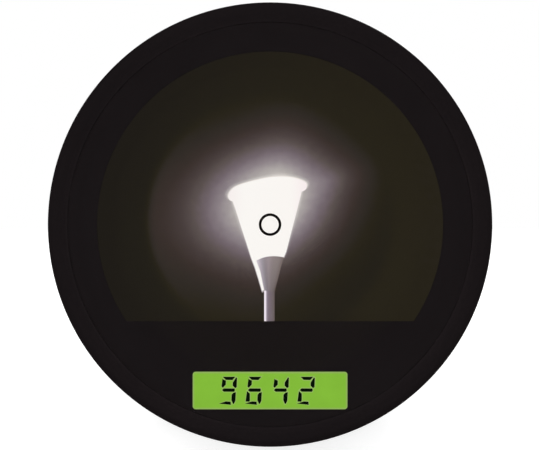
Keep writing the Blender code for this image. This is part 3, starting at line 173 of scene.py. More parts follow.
# Eyecup: a ring of black chloroprene rubber, compression moulded and pressed into a groove. The skin
# is dead matt from the spark-eroded mould, with three soft moulded grooves round its flank.
def begin(name):
    """A new material, with its tree, its Principled shader and its coordinates in the meter's own frame."""
    look = bpy.data.materials.new(name)
    look.use_nodes = True
    tree = look.node_tree
    tree.nodes.clear()
    shader = add(tree, "BsdfPrincipled")
    add(tree, "OutputMaterial", {"Surface": shader})
    return look, tree, shader, add(tree, "TexCoord").outputs["Object"]


def swing(noise, low=0, high=1):
    """What spreads a noise, which mostly stays between 0.3 and 0.7, from one value to another."""
    return {"Value": noise, 1: 0.3, 2: 0.7, 3: low, 4: high}


def grained(name, dark, light, rough, bump, grain_mm, specular=0.5, metallic=0.0, depth_mm=0.03):
    """A cast or moulded finish: a grain in colour, gloss and height, drawn coarser than the real one so
    that it shows, over a slow change in shade."""
    look, tree, shader, place = begin(name)
    fine = {"Vector": place, "Scale": 1 / (grain_mm * MM), "Detail": 3, "Roughness": 0.6}
    grain = add(tree, "TexNoise", fine)
    slow = add(tree, "TexNoise", {"Vector": place, "Scale": 1 / (24 * MM), "Detail": 2})
    blend = add(tree, "Math", {0: grain, 1: slow}, operation="MULTIPLY")
    shade = add(tree, "MapRange", {"Value": blend, 1: 0.1, 2: 0.45})
    colour = add(tree, "Mix", {0: shade, 6: dark, 7: light}, data_type="RGBA").outputs[2]
    gloss = add(tree, "MapRange", swing(grain, rough - 0.06, rough + 0.06))
    height = add(tree, "Bump", {"Height": grain, "Strength": bump, "Distance": depth_mm * MM})
    plug(tree, shader, {"Base Color": colour, "Roughness": gloss, "Normal": height})
    plug(tree, shader, {"Specular IOR Level": specular, "Metallic": metallic})
    return look


def eased(corners, rounding=0.2, steps=3):
    """A closed outline with its corners eased. A corner is depth, radius and maybe its own rounding."""
    points = []
    for place, corner in enumerate(corners):
        here = Vector(corner[:2])
        before = Vector(corners[place - 1][:2]) - here
        after = Vector(corners[(place + 1) % len(corners)][:2]) - here
        reach = min(corner[2] if len(corner) > 2 else rounding, before.length * 0.45, after.length * 0.45)
        if reach <= 0 or here.y == 0:
            points.append(here)
            continue
        start = here + before.normalized() * reach
        end = here + after.normalized() * reach
        for step in range(steps + 1):
            share = step / steps
            points.append(start * (1 - share) ** 2 + here * 2 * share * (1 - share) + end * share**2)
    return [(point.x, point.y) for point in points]


def mesh_of(name, shape):
    """Writes a finished shape into a mesh of its own."""
    mesh = bpy.data.meshes.new(name)
    shape.to_mesh(mesh)
    shape.free()
    return mesh


def finished(mesh, finish, sharp=35):
    """Gives a mesh its one finish, and smooths it but for edges sharper than an angle."""
    mesh.materials.clear()
    mesh.materials.append(finish)
    mesh.shade_smooth()
    mesh.set_sharp_from_angle(angle=math.radians(sharp))
    return mesh


def made(name, shape, finish, sharp=35):
    """A piece from a finished shape, with its origin on the line of sight at the eyecup's rim."""
    bmesh.ops.recalc_face_normals(shape, faces=shape.faces)
    return placed(name, finished(mesh_of(name, shape), finish, sharp), eye_line)


def turned(name, outline, finish, steps=144, relief=None, sharp=35):
    """A piece turned round the line of sight from a closed outline of depth and radius."""
    shape = bmesh.new()
    rings = []
    for depth, radius in outline:
        ring = []
        for step in range(steps if radius > 0 else 1):
            angle = 2 * math.pi * step / steps
            reach = relief(depth, radius, angle) if relief else radius
            point = (reach * math.sin(angle) * MM, depth * MM, reach * math.cos(angle) * MM)
            ring.append(shape.verts.new(point))
        rings.append(ring)
    for near, far in zip(rings, rings[1:] + rings[:1]):
        if len(near) == 1 and len(far) == 1:
            continue
        for step in range(steps):
            corners = [near[step % len(near)], near[(step + 1) % len(near)]]
            corners += [far[(step + 1) % len(far)], far[step % len(far)]]
            shape.faces.new(list(dict.fromkeys(corners)))
    return made(name, shape, finish, sharp)


def settle(piece, body, slot, *nodes):
    """Joins a piece to its body, in place of the nodes that it shows. The slot is not used."""
    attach(piece, body)
    if nodes:
        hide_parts(*nodes)
    return piece


mask_depth, display_reach, sight_gap = 13.2, 26.775, 0.15


def sight_radius(depth):
    """How wide a ring must be at a depth so that the eye sees the display's corners past it."""
    return display_reach * (EYE_DISTANCE + depth) / (EYE_DISTANCE + mask_depth) + sight_gap


def painted_light_by_radius(look, levels):
    """Paints light and shade into a finish by its distance from the line of sight, in millimetres."""
    brightest = 2.5
    tree = look.node_tree
    shader = tree.nodes["Principled BSDF"]
    colour = shader.inputs["Base Color"].links[0].from_socket
    place = tree.nodes["Texture Coordinate"].outputs["Object"]
    flat = add(tree, "VectorMath", {0: place, 1: (1, 0, 1)}, operation="MULTIPLY")
    reach = add(tree, "VectorMath", {0: flat}, operation="LENGTH").outputs["Value"]
    first, last = levels[0][0], levels[-1][0]
    share = add(tree, "MapRange", {"Value": reach, 1: first * MM, 2: last * MM})
    greys = [((radius - first) / (last - first), (level / brightest,) * 3 + (1,)) for radius, level in levels]
    tones = add(tree, "ValToRGB", {"Fac": share}, greys)
    toned = add(tree, "VectorMath", {0: colour, 1: tones}, operation="MULTIPLY")
    scaled = add(tree, "VectorMath", {0: toned, "Scale": brightest}, operation="SCALE")
    plug(tree, shader, {"Base Color": scaled})
    return look


# Light and shade are painted into the rubber by distance from the line of sight: lighter on the inner slope
# and the flank, which lie in more shade, and darker on the face, so that the eyecup looks evenly black from
# the eye. The levels are set against the view from the eye.
eyecup_painted_levels = [(22.15, 2.3), (22.27, 1.5), (22.36, 1.12), (22.6, 0.84), (22.95, 0.87)]
eyecup_painted_levels += [(23.3, 0.96), (23.6, 1.12), (23.95, 1.24), (27.2, 1.2)]
rubber_with_painted_light = painted_light_by_radius(
    grained("chloroprene rubber, with painted light and shade", "#141112", "#191516", 0.9, 0.3, 0.35, 0.0),
    eyecup_painted_levels,
)
eyecup_corners = [
    (7.5, 27.14, 0.25), (6.5, 26.75, 0.2),
    (6.2, 26.3, 0.15), (5.8, 26.2, 0.15), (5.5, 26.35, 0.2), (4.9, 26.1, 0.2),
    (4.6, 25.6, 0.15), (4.2, 25.4, 0.15), (3.9, 25.55, 0.2), (3.3, 25.25, 0.2),
    (3.0, 24.8, 0.15), (2.6, 24.65, 0.15), (2.3, 24.75, 0.2), (0.75, 23.98, 0.5),
    (0.0, 23.35, 0.4), (0.0, 22.5, 0.3), (0.8, sight_radius(0.8), 0.3), (7.5, sight_radius(7.5), 0.2),
]
eyecup = turned("rubber_eyecup", eased(eyecup_corners), rubber_with_painted_light, 240)
settle(eyecup, "eyepiece", "black_rubber", "eyecup")


# Eyepiece retaining ring and tube: turned aluminium, blasted and black anodised. The fine turning
# marks stay under the oxide, so the dark surface has a silky, stretched gleam.
def spun(name, colour, rough, line_mm, bump=0.25, specular=0.5, metallic=0.85):
    """A lathe-turned finish, with its tool marks round the line of sight and a soft play in gloss."""
    look, tree, shader, place = begin(name)
    depth = add(tree, "SeparateXYZ", {"Vector": place}).outputs["Y"]
    marks = {"W": depth, "Scale": 1 / (line_mm * MM), "Detail": 2}
    lines = add(tree, "TexNoise", marks, noise_dimensions="1D")
    cloud = add(tree, "TexNoise", {"Vector": place, "Scale": 1 / (9 * MM), "Detail": 3})
    shade = add(tree, "MapRange", swing(cloud, 0.88, 1.12))
    tone = add(tree, "VectorMath", {0: linear(colour)[:3], "Scale": shade}, operation="SCALE")
    gloss = add(tree, "MapRange", swing(lines, rough - 0.05, rough + 0.07))
    height = add(tree, "Bump", {"Height": lines, "Strength": bump, "Distance": 0.01 * MM})
    plug(tree, shader, {"Base Color": tone, "Roughness": gloss, "Normal": height})
    plug(tree, shader, {"Specular IOR Level": specular, "Metallic": metallic})
    return look


black_anodised = spun("black anodised aluminium", "#2b2a2c", 0.42, 0.25)
inner_anodised = spun("black anodised bore", "#161314", 0.8, 0.25, 0.1, 0.05, 0.0)
retaining_corners = [(8.8, 27.19), (7.8, 27.19), (7.8, 27.0), (7.45, 27.0), (7.45, sight_radius(7.8))]
retaining_corners += [(8.8, sight_radius(8.8)), (9.15, 26.9), (9.15, 27.05), (8.8, 27.05)]
retaining_ring = turned("eyepiece_ring", eased(retaining_corners, 0.12), inner_anodised, 192)
settle(retaining_ring, "eyepiece", "black_anodised", "eyepiece_retaining_ring")
tube_corners = [
    (30.2, 29.42, 0.2), (16.6, 29.42, 0.1), (16.4, 29.24, 0.05), (16.0, 29.24, 0.05), (15.8, 29.42, 0.1),
    (15.4, 29.42, 0.1), (15.2, 29.24, 0.05), (14.8, 29.24, 0.05), (14.6, 29.42, 0.1), (12.9, 29.42, 0.4),
    (9.1, 27.71, 0.2), (9.1, 27.12, 0.05), (11.2, 27.12, 0.05), (11.2, 26.47, 0.05),
    (12.0, 26.47, 0.05), (12.0, 27.72, 0.05), (12.9, 28.83, 0.05), (30.2, 28.83, 0.1),
]
slide_tube = turned("eyepiece_slide_tube", eased(tube_corners), black_anodised, 192)
settle(slide_tube, "eyepiece", "black_anodised", "eyepiece_tube")


# Eyepiece lens: crown glass, ground and polished, with a coating that leaves almost no glare
# straight on and a faint violet gleam at a slant.
def coated(name, tint, clear, grazing, film=420, ior=1.52):
    """Coated glass: almost clear straight on, with the coating's colour in what it mirrors."""
    look, tree, shader, place = begin(name)
    facing = add(tree, "LayerWeight", {"Blend": 0.35}).outputs["Facing"]
    haze = add(tree, "TexNoise", {"Vector": place, "Scale": 1 / (6 * MM), "Detail": 4})
    cover = add(tree, "MapRange", {"Value": facing, 1: 0.25, 2: 1.0, 3: clear, 4: grazing})
    dust = add(tree, "MapRange", {"Value": haze, 1: 0.5, 2: 0.8, 3: 0.02, 4: 0.08})
    plug(tree, shader, {"Alpha": cover, "Roughness": dust, "Base Color": tint, "IOR": ior})
    plug(tree, shader, {"Thin Film Thickness": film, "Thin Film IOR": 1.38})
    return look


eyepiece_glass = coated("coated crown glass", "#0d0a10", 0.015, 0.5)
lens_radius, lens_bulge = 26.8, 0.1
lens_reaches = (0, 6.7, 13.4, 20.1, 26.2)
lens_rings = [(9.1 - lens_bulge * (1 - (r / lens_radius) ** 2), r) for r in lens_reaches]
lens_rings += [(9.3, lens_radius), (10.7, lens_radius)]
lens_rings += [(10.9 + lens_bulge * (1 - (r / lens_radius) ** 2), r) for r in reversed(lens_reaches)]
settle(turned("eye_lens", lens_rings, eyepiece_glass, 144), "eyepiece", "coated_glass", "eyepiece_lens")


# Diopter ring: turned from aluminium bar, with a straight milled knurl for the thumb, chamfered
# and black anodised. Its scale is engraved and filled with white lacquer.
knurls = 96
knurl_from, knurl_to, knurl_foot, knurl_deep = 23.9, 28.7, 32.4, 0.55
diopter_radius = 33.18


def knurl(depth, radius, angle):
    """The ring's radius with its knurl: flat ridges with flat-bottomed cuts between them."""
    if radius < knurl_foot or not knurl_from < depth < knurl_to:
        return radius
    wave = abs((angle * knurls / math.pi) % 2 - 1)
    return radius - knurl_deep * min(1, max(0, 1.7 * wave - 0.35))


diopter_corners = [
    (31.0, 32.7, 0.1), (30.6, diopter_radius, 0.1), (29.3, diopter_radius, 0.1), (29.1, 32.75, 0.05),
    (28.75, 32.75, 0.05), (28.6, diopter_radius, 0.15), (26.3, diopter_radius, 0.01),
    (24.0, diopter_radius, 0.15), (23.85, 32.75, 0.05), (23.3, 32.75, 0.05), (22.7, 32.6, 0.1),
    (22.3, 32.1, 0.1), (22.3, 30.79, 0.1), (31.0, 30.79, 0.1),
]
knurled = turned("diopter_knurl", eased(diopter_corners, steps=2), black_anodised, knurls * 6, knurl, 25)
settle(knurled, "diopter", "black_anodised", "diopter_ring")


def wrapped(shape, angle, depth, radius, lift=0.03):
    """Bends a flat shape, with its width round the ring and its height forward, onto a ring."""
    for vertex in shape.verts:
        across, along, up = vertex.co
        turn = angle + across / radius
        reach = (radius + lift + up) * MM
        vertex.co = (reach * math.sin(turn), (depth + along) * MM, reach * math.cos(turn))
    return shape


def bar_shape(width, height, thickness=0.05):
    """A thin flat bar."""
    shape = bmesh.new()
    bmesh.ops.create_cube(shape, size=1)
    bmesh.ops.scale(shape, vec=(width, height, thickness), verts=shape.verts)
    return shape


def together(*shapes):
    """Several finished shapes as one."""
    whole = bmesh.new()
    for shape in shapes:
        whole.from_mesh(mesh_of("part", shape))
    return whole


# The lacquer is a soft, slightly uneven white, as it stays in an engraved line after wiping.
white_lacquer = grained("white engraving lacquer", "#c9c8c2", "#e2e1dc", 0.55, 0.15, 0.2, 0.3)
diopter_marks = []
for step in range(-6, 7):
    height, depth = (1.1, 30.0) if step % 3 == 0 else (0.7, 30.2)
    angle = math.radians(-75 + step * 12.5)
    diopter_marks.append(wrapped(bar_shape(0.3, height), angle, depth, diopter_radius))
settle(made("diopter_scale", together(*diopter_marks), white_lacquer), "diopter", "black_anodised")


# Rear collar: the fixed neck that the diopter ring turns on, with a flange against the housing.
# Turned aluminium, black anodised, with one white index line on top.
flange_radius = 33.53
collar_corners = [
    (38.0, 31.03), (33.5, 31.03, 0.05), (33.5, flange_radius, 0.25), (31.3, flange_radius, 0.25),
    (31.3, 30.5, 0.1), (22.5, 30.5, 0.1), (22.5, 29.71, 0.1),
    (31.3, 29.71, 0.05), (31.3, 28.85, 0.05), (38.0, 28.85),
]
settle(turned("collar", eased(collar_corners), black_anodised, 192), "meter", "black_anodised", "rear_collar")
collar_index = wrapped(bar_shape(0.5, 1.4), 0, 32.4, flange_radius)
settle(made("collar_index", together(collar_index), white_lacquer), "meter", "black_anodised")


# Field mask: phosphor bronze sheet, photo-etched to a sharp front edge and painted dead black, so
# that the field window and the display window stand in an even darkness.
mask_black = grained("dead black optical paint", "#1e1a1b", "#211d1e", 0.96, 0.1, 0.2, 0.0)
# The mask's black has light painted in towards its outer edge, where the tube's walls shade it, and shade
# painted in near the middle, so that it looks evenly dark from the eye.
mask_black_with_painted_light = painted_light_by_radius(
    grained("optical paint, with painted light towards its edge", "#1e1a1b", "#211d1e", 0.96, 0.1, 0.2, 0.0),
    ((14, 0.695), (18, 0.76), (21.35, 0.9), (24, 1.1), (25.4, 1.43), (26, 1.7), (26.8, 2.15)),
)


def arc(radius, start, end, steps, x=0.0, z=0.0):
    """Points on an arc, in degrees from +X towards +Z."""
    turns = [math.radians(start + (end - start) * step / steps) for step in range(steps + 1)]
    return [(x + radius * math.cos(t), z + radius * math.sin(t)) for t in turns]


def chord_disc(radius, drop, steps=160):
    """A disc's outline with its foot cut off flat."""
    low = math.degrees(math.asin(drop / radius))
    return arc(radius, -low, 180 + low, steps)


def rounded_box(half_width, half_height, radius, x=0.0, z=0.0, steps=6):
    """An upright box's outline with rounded corners."""
    points = []
    for quarter, (side, up) in enumerate(((1, 1), (-1, 1), (-1, -1), (1, -1))):
        middle = (x + side * (half_width - radius), z + up * (half_height - radius))
        points += arc(radius, 90 * quarter, 90 * quarter + 90, steps, *middle)
    return points


def worked_out(thing):
    """The mesh that an object has once its curve or its cut is worked out."""
    bpy.context.view_layer.update()
    return bpy.data.meshes.new_from_object(thing.evaluated_get(bpy.context.evaluated_depsgraph_get()))


def filled(curve, gap):
    """A filled curve as a shape, with points closer than a gap joined."""
    holder = placed("filled", curve)
    flat = worked_out(holder)
    bpy.data.objects.remove(holder, do_unlink=True)
    shape = bmesh.new()
    shape.from_mesh(flat)
    bmesh.ops.remove_doubles(shape, verts=shape.verts, dist=gap)
    return shape


def sheet_shape(outlines, depth_from, depth_to):
    """A flat sheet across the line of sight. The first outline is its edge, and the others are its holes."""
    curve = bpy.data.curves.new("sheet", "CURVE")
    curve.dimensions = "2D"
    curve.fill_mode = "BOTH"
    curve.extrude = (depth_to - depth_from) / 2
    for outline in outlines:
        spline = curve.splines.new("POLY")
        spline.points.add(len(outline) - 1)
        for point, (x, z) in zip(spline.points, outline):
            point.co = (x, z, 0, 1)
        spline.use_cyclic_u = True
    shape = filled(curve, 0.0005)
    middle = (depth_from + depth_to) / 2
    for vertex in shape.verts:
        x, z, lift = vertex.co
        vertex.co = (x * MM, (middle - lift) * MM, z * MM)
    return shape


field_radius, field_drop = 23.075, 12.88
window_half_width, window_half_height, window_corner, window_drop = 10.323, 2.519, 0.42, 22.117
mask_radius, bevel = 28.54, 0.35


def mask_outlines(wider):
    """The mask's edge, its field window and its display window, both by so much wider."""
    window = rounded_box(
        window_half_width + wider, window_half_height + wider, window_corner + wider, 0, -window_drop
    )
    field = chord_disc(field_radius + wider, field_drop + wider, 200)
    return [arc(mask_radius, 0, 357.5, 143), field, window]


etched_edge = sheet_shape(mask_outlines(0), mask_depth, 13.28)
mask_shape = together(etched_edge, sheet_shape(mask_outlines(bevel), 13.29, 13.8))
settle(made("finder_mask", mask_shape, mask_black_with_painted_light), "meter", "matt_black", "field_mask")


# Reticle: a thin glass plate with the target ring of the measuring spot photo-etched on it and
# filled black, so the ring stands sharp against the picture.
plate_radius, plate_drop = 27.49, 15.2
reticle_glass = coated("reticle glass", "#0a0a0a", 0.01, 0.3)
reticle_shape = sheet_shape([chord_disc(plate_radius, plate_drop)], 14.1, 15.1)
settle(made("reticle_plate", reticle_shape, reticle_glass), "meter", "coated_glass", "reticle")
target_black = grained("etched chromium black", "#0d0a0a", "#100c0c", 0.9, 0.05, 0.2, 0.02)
target_corners = [(15.13, 1.545), (15.13, 1.175), (15.16, 1.175), (15.16, 1.545)]
settle(turned("target_ring", target_corners, target_black, 96), "meter", "coated_glass")


# Focusing screen: finely ground glass, on which the lens throws the picture of what is measured,
# here a lit cone-shaped lamp at night. Its light falls off in smooth lobes and ends in a soft round edge.
screen_depth = 15.4


def column_at(depth):
    """How wide one of the picture's columns is at a depth."""
    return (EYE_DISTANCE + depth) / FOCAL_COLUMNS


def shining(tree, shader, colour):
    """Makes a finish give its own light and mirror nothing."""
    plug(tree, shader, {"Emission Color": colour, "Emission Strength": 1, "Base Color": "#000000"})
    plug(tree, shader, {"Roughness": 1, "Specular IOR Level": 0})


PIXEL = column_at(screen_depth)
STEP = PIXEL * MM
look, tree, shader, place = begin("lit ground glass")
parts = add(tree, "SeparateXYZ", {"Vector": place}).outputs
night = add(tree, "MapRange", {"Value": parts["X"], 1: -23 * MM, 2: 23 * MM, 3: 0.1154, 4: 0.1583})
glow = 0
# A lobe's middle, its reach across and along, its lean, its brightness and how steeply it falls off.
for lobe_x, lobe_z, wide, high, lean, bright, fall in (
    (-191.97, 9.55, 136.6, 133.9, -0.2, 0.218, 0.8),
    (-4.88, 21.32, 62.03, 50.15, 0.287, 0.682, 1.872),
    (5.76, 18.83, 16.53, 37.24, 0.519, 0.341, 0.979),
    (56.17, 43.54, 30.73, 15.58, 0.739, 0.104, 1.371),
):
    over = {"Value": parts["X"], 1: lobe_x * STEP, 2: (lobe_x + wide) * STEP}
    down = {"Value": parts["Z"], 1: lobe_z * STEP, 2: (lobe_z - high) * STEP}
    across = add(tree, "MapRange", over, clamp=False)
    along = add(tree, "MapRange", down, clamp=False)
    across_square = add(tree, "Math", {0: across, 1: across}, operation="MULTIPLY")
    along_square = add(tree, "Math", {0: along, 1: along}, operation="MULTIPLY")
    crossed = add(tree, "Math", {0: across, 1: along}, operation="MULTIPLY")
    both = add(tree, "Math", {0: across_square, 1: along_square}, operation="ADD")
    square = add(tree, "Math", {0: crossed, 1: lean, 2: both}, operation="MULTIPLY_ADD")
    floor_square = add(tree, "Math", {0: square, 1: 0.0001}, operation="MAXIMUM")
    power = add(tree, "Math", {0: floor_square, 1: fall / 2}, operation="POWER")
    minus = add(tree, "Math", {0: power, 1: -1}, operation="MULTIPLY")
    lobe = add(tree, "Math", {0: minus}, operation="EXPONENT")
    glow = add(tree, "Math", {0: lobe, 1: bright, 2: glow}, operation="MULTIPLY_ADD")
edge_middle = (0.24 * STEP, 0, -5.36 * STEP)
edge_outer, edge_inner, night_in_glow = 128.8, 114.6, 0.57
edge_place = add(tree, "VectorMath", {0: place, 1: (1, 0, 1), 2: edge_middle}, operation="MULTIPLY_ADD")
edge_reach = add(tree, "VectorMath", {0: edge_place}, operation="LENGTH").outputs["Value"]
edge_range = {"Value": edge_reach, 1: edge_outer * STEP, 2: edge_inner * STEP}
edge = add(tree, "MapRange", edge_range, interpolation_type="SMOOTHSTEP")
glow = add(tree, "Math", {0: glow, 1: edge}, operation="MULTIPLY")
dimmed = add(tree, "MapRange", {"Value": edge, 3: 1, 4: night_in_glow})
glow = add(tree, "Math", {0: night, 1: dimmed, 2: glow}, operation="MULTIPLY_ADD")
grit = add(tree, "TexNoise", {"Vector": place, "Scale": 1 / (0.9 * MM), "Detail": 3})
grit_share = add(tree, "MapRange", swing(grit, 0.975, 1.025))
glow = add(tree, "Math", {0: glow, 1: grit_share}, operation="MULTIPLY")
glow_tones = [(0.12, "#201d18"), (0.155, "#272319"), (0.185, "#2f2a26"), (0.23, "#39302d")]
glow_tones += [(0.29, "#493f3e"), (0.36, "#5d5352"), (0.45, "#74686f"), (0.56, "#90868b")]
glow_tones += [(0.72, "#b7b1ae"), (0.88, "#e3dcd6"), (0.98, "#faf7f5")]
shining(tree, shader, add(tree, "ValToRGB", {"Fac": glow}, glow_tones))
screen_shape = sheet_shape([chord_disc(plate_radius, plate_drop)], screen_depth, 16.9)
settle(made("ground_screen", screen_shape, look), "meter", "ground_glass", "focusing_screen")


# The lamp on the ground glass: an opal glass shade over a socket and a stem. It is light alone, so it
# is thin flat shining pieces just this side of the screen, the soft ones farther from the eye.
def lit(name, stops, start, end, axis="X"):
    """A part of the picture: its brightness and colour change along one direction of the screen."""
    look, tree, shader, place = begin(name)
    parts = add(tree, "SeparateXYZ", {"Vector": place}).outputs
    share = add(tree, "MapRange", {"Value": parts[axis], 1: start * STEP, 2: end * STEP})
    shining(tree, shader, add(tree, "ValToRGB", {"Fac": share}, stops))
    return look


def pictured(name, outline, depth, finish):
    """A flat part of the picture on the screen, drawn in columns of the eye's view from its middle."""
    points = [(x * PIXEL, z * PIXEL) for x, z in outline]
    return settle(made(name, sheet_shape([points], depth, depth + 0.01), finish), "meter", "ground_glass")


def curved(corners, rounds=3):
    """Smooths an open run of points by cutting its corners."""
    for _ in range(rounds):
        smooth = [corners[0]]
        for (x0, z0), (x1, z1) in zip(corners, corners[1:]):
            smooth.append((0.75 * x0 + 0.25 * x1, 0.75 * z0 + 0.25 * z1))
            smooth.append((0.25 * x0 + 0.75 * x1, 0.25 * z0 + 0.75 * z1))
        corners = smooth + [corners[-1]]
    return corners


lamp_middle = (-2.4, 10)


def resized(outline, share):
    """An outline made larger or smaller about the lamp's middle."""
    middle_x, middle_z = lamp_middle
    return [(middle_x + (x - middle_x) * share, middle_z + (z - middle_z) * share) for x, z in outline]


dome_points = [(-39.8, 23.9), (-42.4, 27.0), (-41.9, 31.6), (-35.9, 38.4), (-19.3, 43.7), (2.7, 48.5)]
dome_points += [(21.7, 48.2), (35.7, 43.3), (37.5, 39.1), (35.6, 34.5), (31.7, 33.1)]
socket_top = curved([(13.9, -32.9), (4.7, -31.5), (-5.8, -32.6), (-13.7, -36.4)], 2)
shade_outline = curved(dome_points) + [(31.35, 31.1), (26.5, 11.6), (21.0, -9.0), (16.3, -27.2)] + socket_top
shade_outline += [(-9.8, -46.7), (-5.9, -66.0), (-8.1, -66.8), (-11.5, -55.1), (-15.3, -43.0), (-19.1, -33.3)]
shade_outline += [(-24.2, -17.5), (-29.1, -3.0), (-34.8, 15.2), (-37.8, 23.5)]
opal_tones = ((0.0, "#fbf4f2"), (0.18, "#fffcf8"), (0.8, "#fffbf7"), (1.0, "#fcf1f1"))
opal = lit("lit opal glass", opal_tones, -40, 36)
pictured("lamp_shade_picture", resized(shade_outline, 0.992), 15.36, opal)

look, tree, shader, place = begin("socket in its own shade")
parts = add(tree, "SeparateXYZ", {"Vector": place}).outputs
from_top = {"Value": parts["Z"], 1: -35 * STEP, 2: -66 * STEP}
left_edge = add(tree, "MapRange", {**from_top, 3: -13.5 * STEP, 4: -5.9 * STEP})
right_edge = add(tree, "MapRange", {**from_top, 3: 13.4 * STEP, 4: 4.6 * STEP})
share = add(tree, "MapRange", {"Value": parts["X"], 1: left_edge, 2: right_edge})
socket_tones = [(0.0, "#c4bbc2"), (0.09, "#a59ca5"), (0.2, "#8f888f"), (0.32, "#837a7f")]
socket_tones += [(0.44, "#8b8084"), (0.6, "#807676"), (0.82, "#7a706f"), (1.0, "#6a5e5b")]
tones = add(tree, "ValToRGB", {"Fac": share}, socket_tones)
fade = add(tree, "MapRange", {**from_top, 3: 1.28, 4: 0.92})
shining(tree, shader, add(tree, "VectorMath", {0: tones, "Scale": fade}, operation="SCALE"))
socket_outline = socket_top + [(-9.8, -46.7), (-5.9, -66.0), (4.6, -66.1), (7.8, -55.0), (10.9, -42.0)]
pictured("lamp_socket_picture", socket_outline, 15.33, look)

stem_tones = [(0.0, "#fbf2fb"), (0.14, "#f6ebf6"), (0.23, "#a69aa8"), (0.34, "#837783")]
stem_tones += [(0.48, "#7a6d77"), (0.78, "#72676a"), (1.0, "#675c59")]
stem_outline = [(-5.9, -66.0), (-5.9, -97.5), (4.55, -97.5), (4.55, -66.0)]
pictured("lamp_stem_picture", stem_outline, 15.35, lit("stem in the lamp's light", stem_tones, -5.9, 4.6))

bloom_tones = ((0.0, "#b0a7ab"), (0.5, "#c8c0be"), (1.0, "#e6dfd9"))
bloom = lit("bloom at the lamp's edge", bloom_tones, -30, 49, "Z")
pictured("lamp_bloom_picture", resized(shade_outline, 1.016), 15.37, bloom)
for number, larger in enumerate((1.04, 1.07)):
    veil = lit("veil of stray light", ((0.0, "#ffffff"), (1.0, "#fffdf8")), -30, 49, "Z")
    tree = veil.node_tree
    height = tree.nodes["Separate XYZ"].outputs["Z"]
    faint = add(tree, "MapRange", {"Value": height, 1: -34 * STEP, 2: 6 * STEP, 3: 0.0, 4: 0.055})
    plug(tree, tree.nodes["Principled BSDF"], {"Alpha": faint})
    pictured(f"lamp_veil_{number + 1}", resized(shade_outline, larger), 15.385 - 0.003 * number, veil)


# Finder display: a liquid crystal cell with four slanted seven-part digits, lit from behind by an
# evenly green light guide. The light is a little paler where it meets the window's edge.
display_depth = 14.1
look, tree, shader, place = begin("green lit liquid crystal")
parts = add(tree, "SeparateXYZ", {"Vector": place}).outputs
side = add(tree, "Math", {0: parts["X"]}, operation="ABSOLUTE")
side_inset = add(tree, "MapRange", {"Value": side, 1: 10.46 * MM, 2: 9.46 * MM})
foot_inset = add(tree, "MapRange", {"Value": parts["Z"], 1: -24.95 * MM, 2: -23.95 * MM})
head_inset = add(tree, "MapRange", {"Value": parts["Z"], 1: -19.85 * MM, 2: -20.85 * MM})
nearer = add(tree, "Math", {0: foot_inset, 1: head_inset}, operation="MINIMUM")
inset = add(tree, "Math", {0: nearer, 1: side_inset}, operation="MINIMUM")
leaf = add(tree, "TexNoise", {"Vector": place, "Scale": 1 / (2.5 * MM), "Detail": 2})
uneven = add(tree, "MapRange", swing(leaf, 0.97, 1.03))
tones = add(tree, "ValToRGB", {"Fac": inset}, ((0.0, "#8db05c"), (0.15, "#93b35f"), (0.28, "#84bc3b")))
shining(tree, shader, add(tree, "VectorMath", {0: tones, "Scale": uneven}, operation="SCALE"))
cell_shape = sheet_shape([rounded_box(10.89, 3.05, 0.1, 0, -window_drop, 2)], display_depth, 15.2)
settle(made("finder_display_cell", cell_shape, look), "meter", "liquid_crystal_cell", "finder_lcd")

# The seven segments, drawn upright on a digit that is 15 units wide and 27 units high.
segments = {
    "a": [(-7.5, 13.9), (5.15, 13.9), (2.7, 10.6), (-4.1, 10.8)],
    "b": [(6.98, 12.7), (5.95, 13.3), (3.23, 8.08), (3.56, 5.02), (6.3, 2.55), (7.77, 3.48)],
    "c": [(5.08, -2.08), (7.58, -1.44), (8.2, -10.1), (7.06, -13.0), (6.22, -13.38), (4.0, -9.44)]
    + [(3.58, -4.02)],
    "d": [(-7.96, -12.9), (-1.24, -10.7), (3.52, -10.98), (4.12, -14.18)],
    "e": [(-7.48, -0.3), (-4.2, -2.9), (-3.4, -9.06), (-3.6, -11.0), (-7.6, -10.9)],
    "f": [(-7.32, 12.86), (-7.52, 11.7), (-3.78, 10.0), (-3.42, 5.96), (-6.02, 2.83), (-7.58, 4.26)],
    "g": [(-6.68, 0.62), (-5.0, 2.3), (5.8, 2.22), (6.38, 0.3), (5.86, -1.12), (-4.58, -1.08)],
}
lit_segments = {"9": "abcdfg", "6": "acdefg", "4": "bcfg", "2": "abdeg"}
reading = "9642"
slant = 0.124


def widened(outline, by):
    """An outline with every side moved outwards."""
    turning = sum(x0 * z1 - x1 * z0 for (x0, z0), (x1, z1) in zip(outline, outline[1:] + outline[:1]))
    out = by if turning > 0 else -by
    points = []
    for place, corner in enumerate(outline):
        here = Vector(corner)
        before = (here - Vector(outline[place - 1])).normalized()
        after = (Vector(outline[(place + 1) % len(outline)]) - here).normalized()
        both = Vector((before.y + after.y, -before.x - after.x))
        points.append(tuple(here + both * out / max(0.5, 1 + before.dot(after))))
    return points


def digits_shape(middle, pitch, unit, depth, thin=0.01, grown=0.0):
    """The reading as a row of slanted digits, cut from thin sheets across the line of sight."""
    sheets = []
    for place, digit in enumerate(reading):
        start = middle[0] + (place - (len(reading) - 1) / 2) * pitch
        for letter in lit_segments[digit]:
            outline = widened(segments[letter], grown)
            points = [(start + (x + slant * z) * unit, middle[1] + z * unit) for x, z in outline]
            sheets.append(sheet_shape([points], depth - thin, depth))
    return together(*sheets)


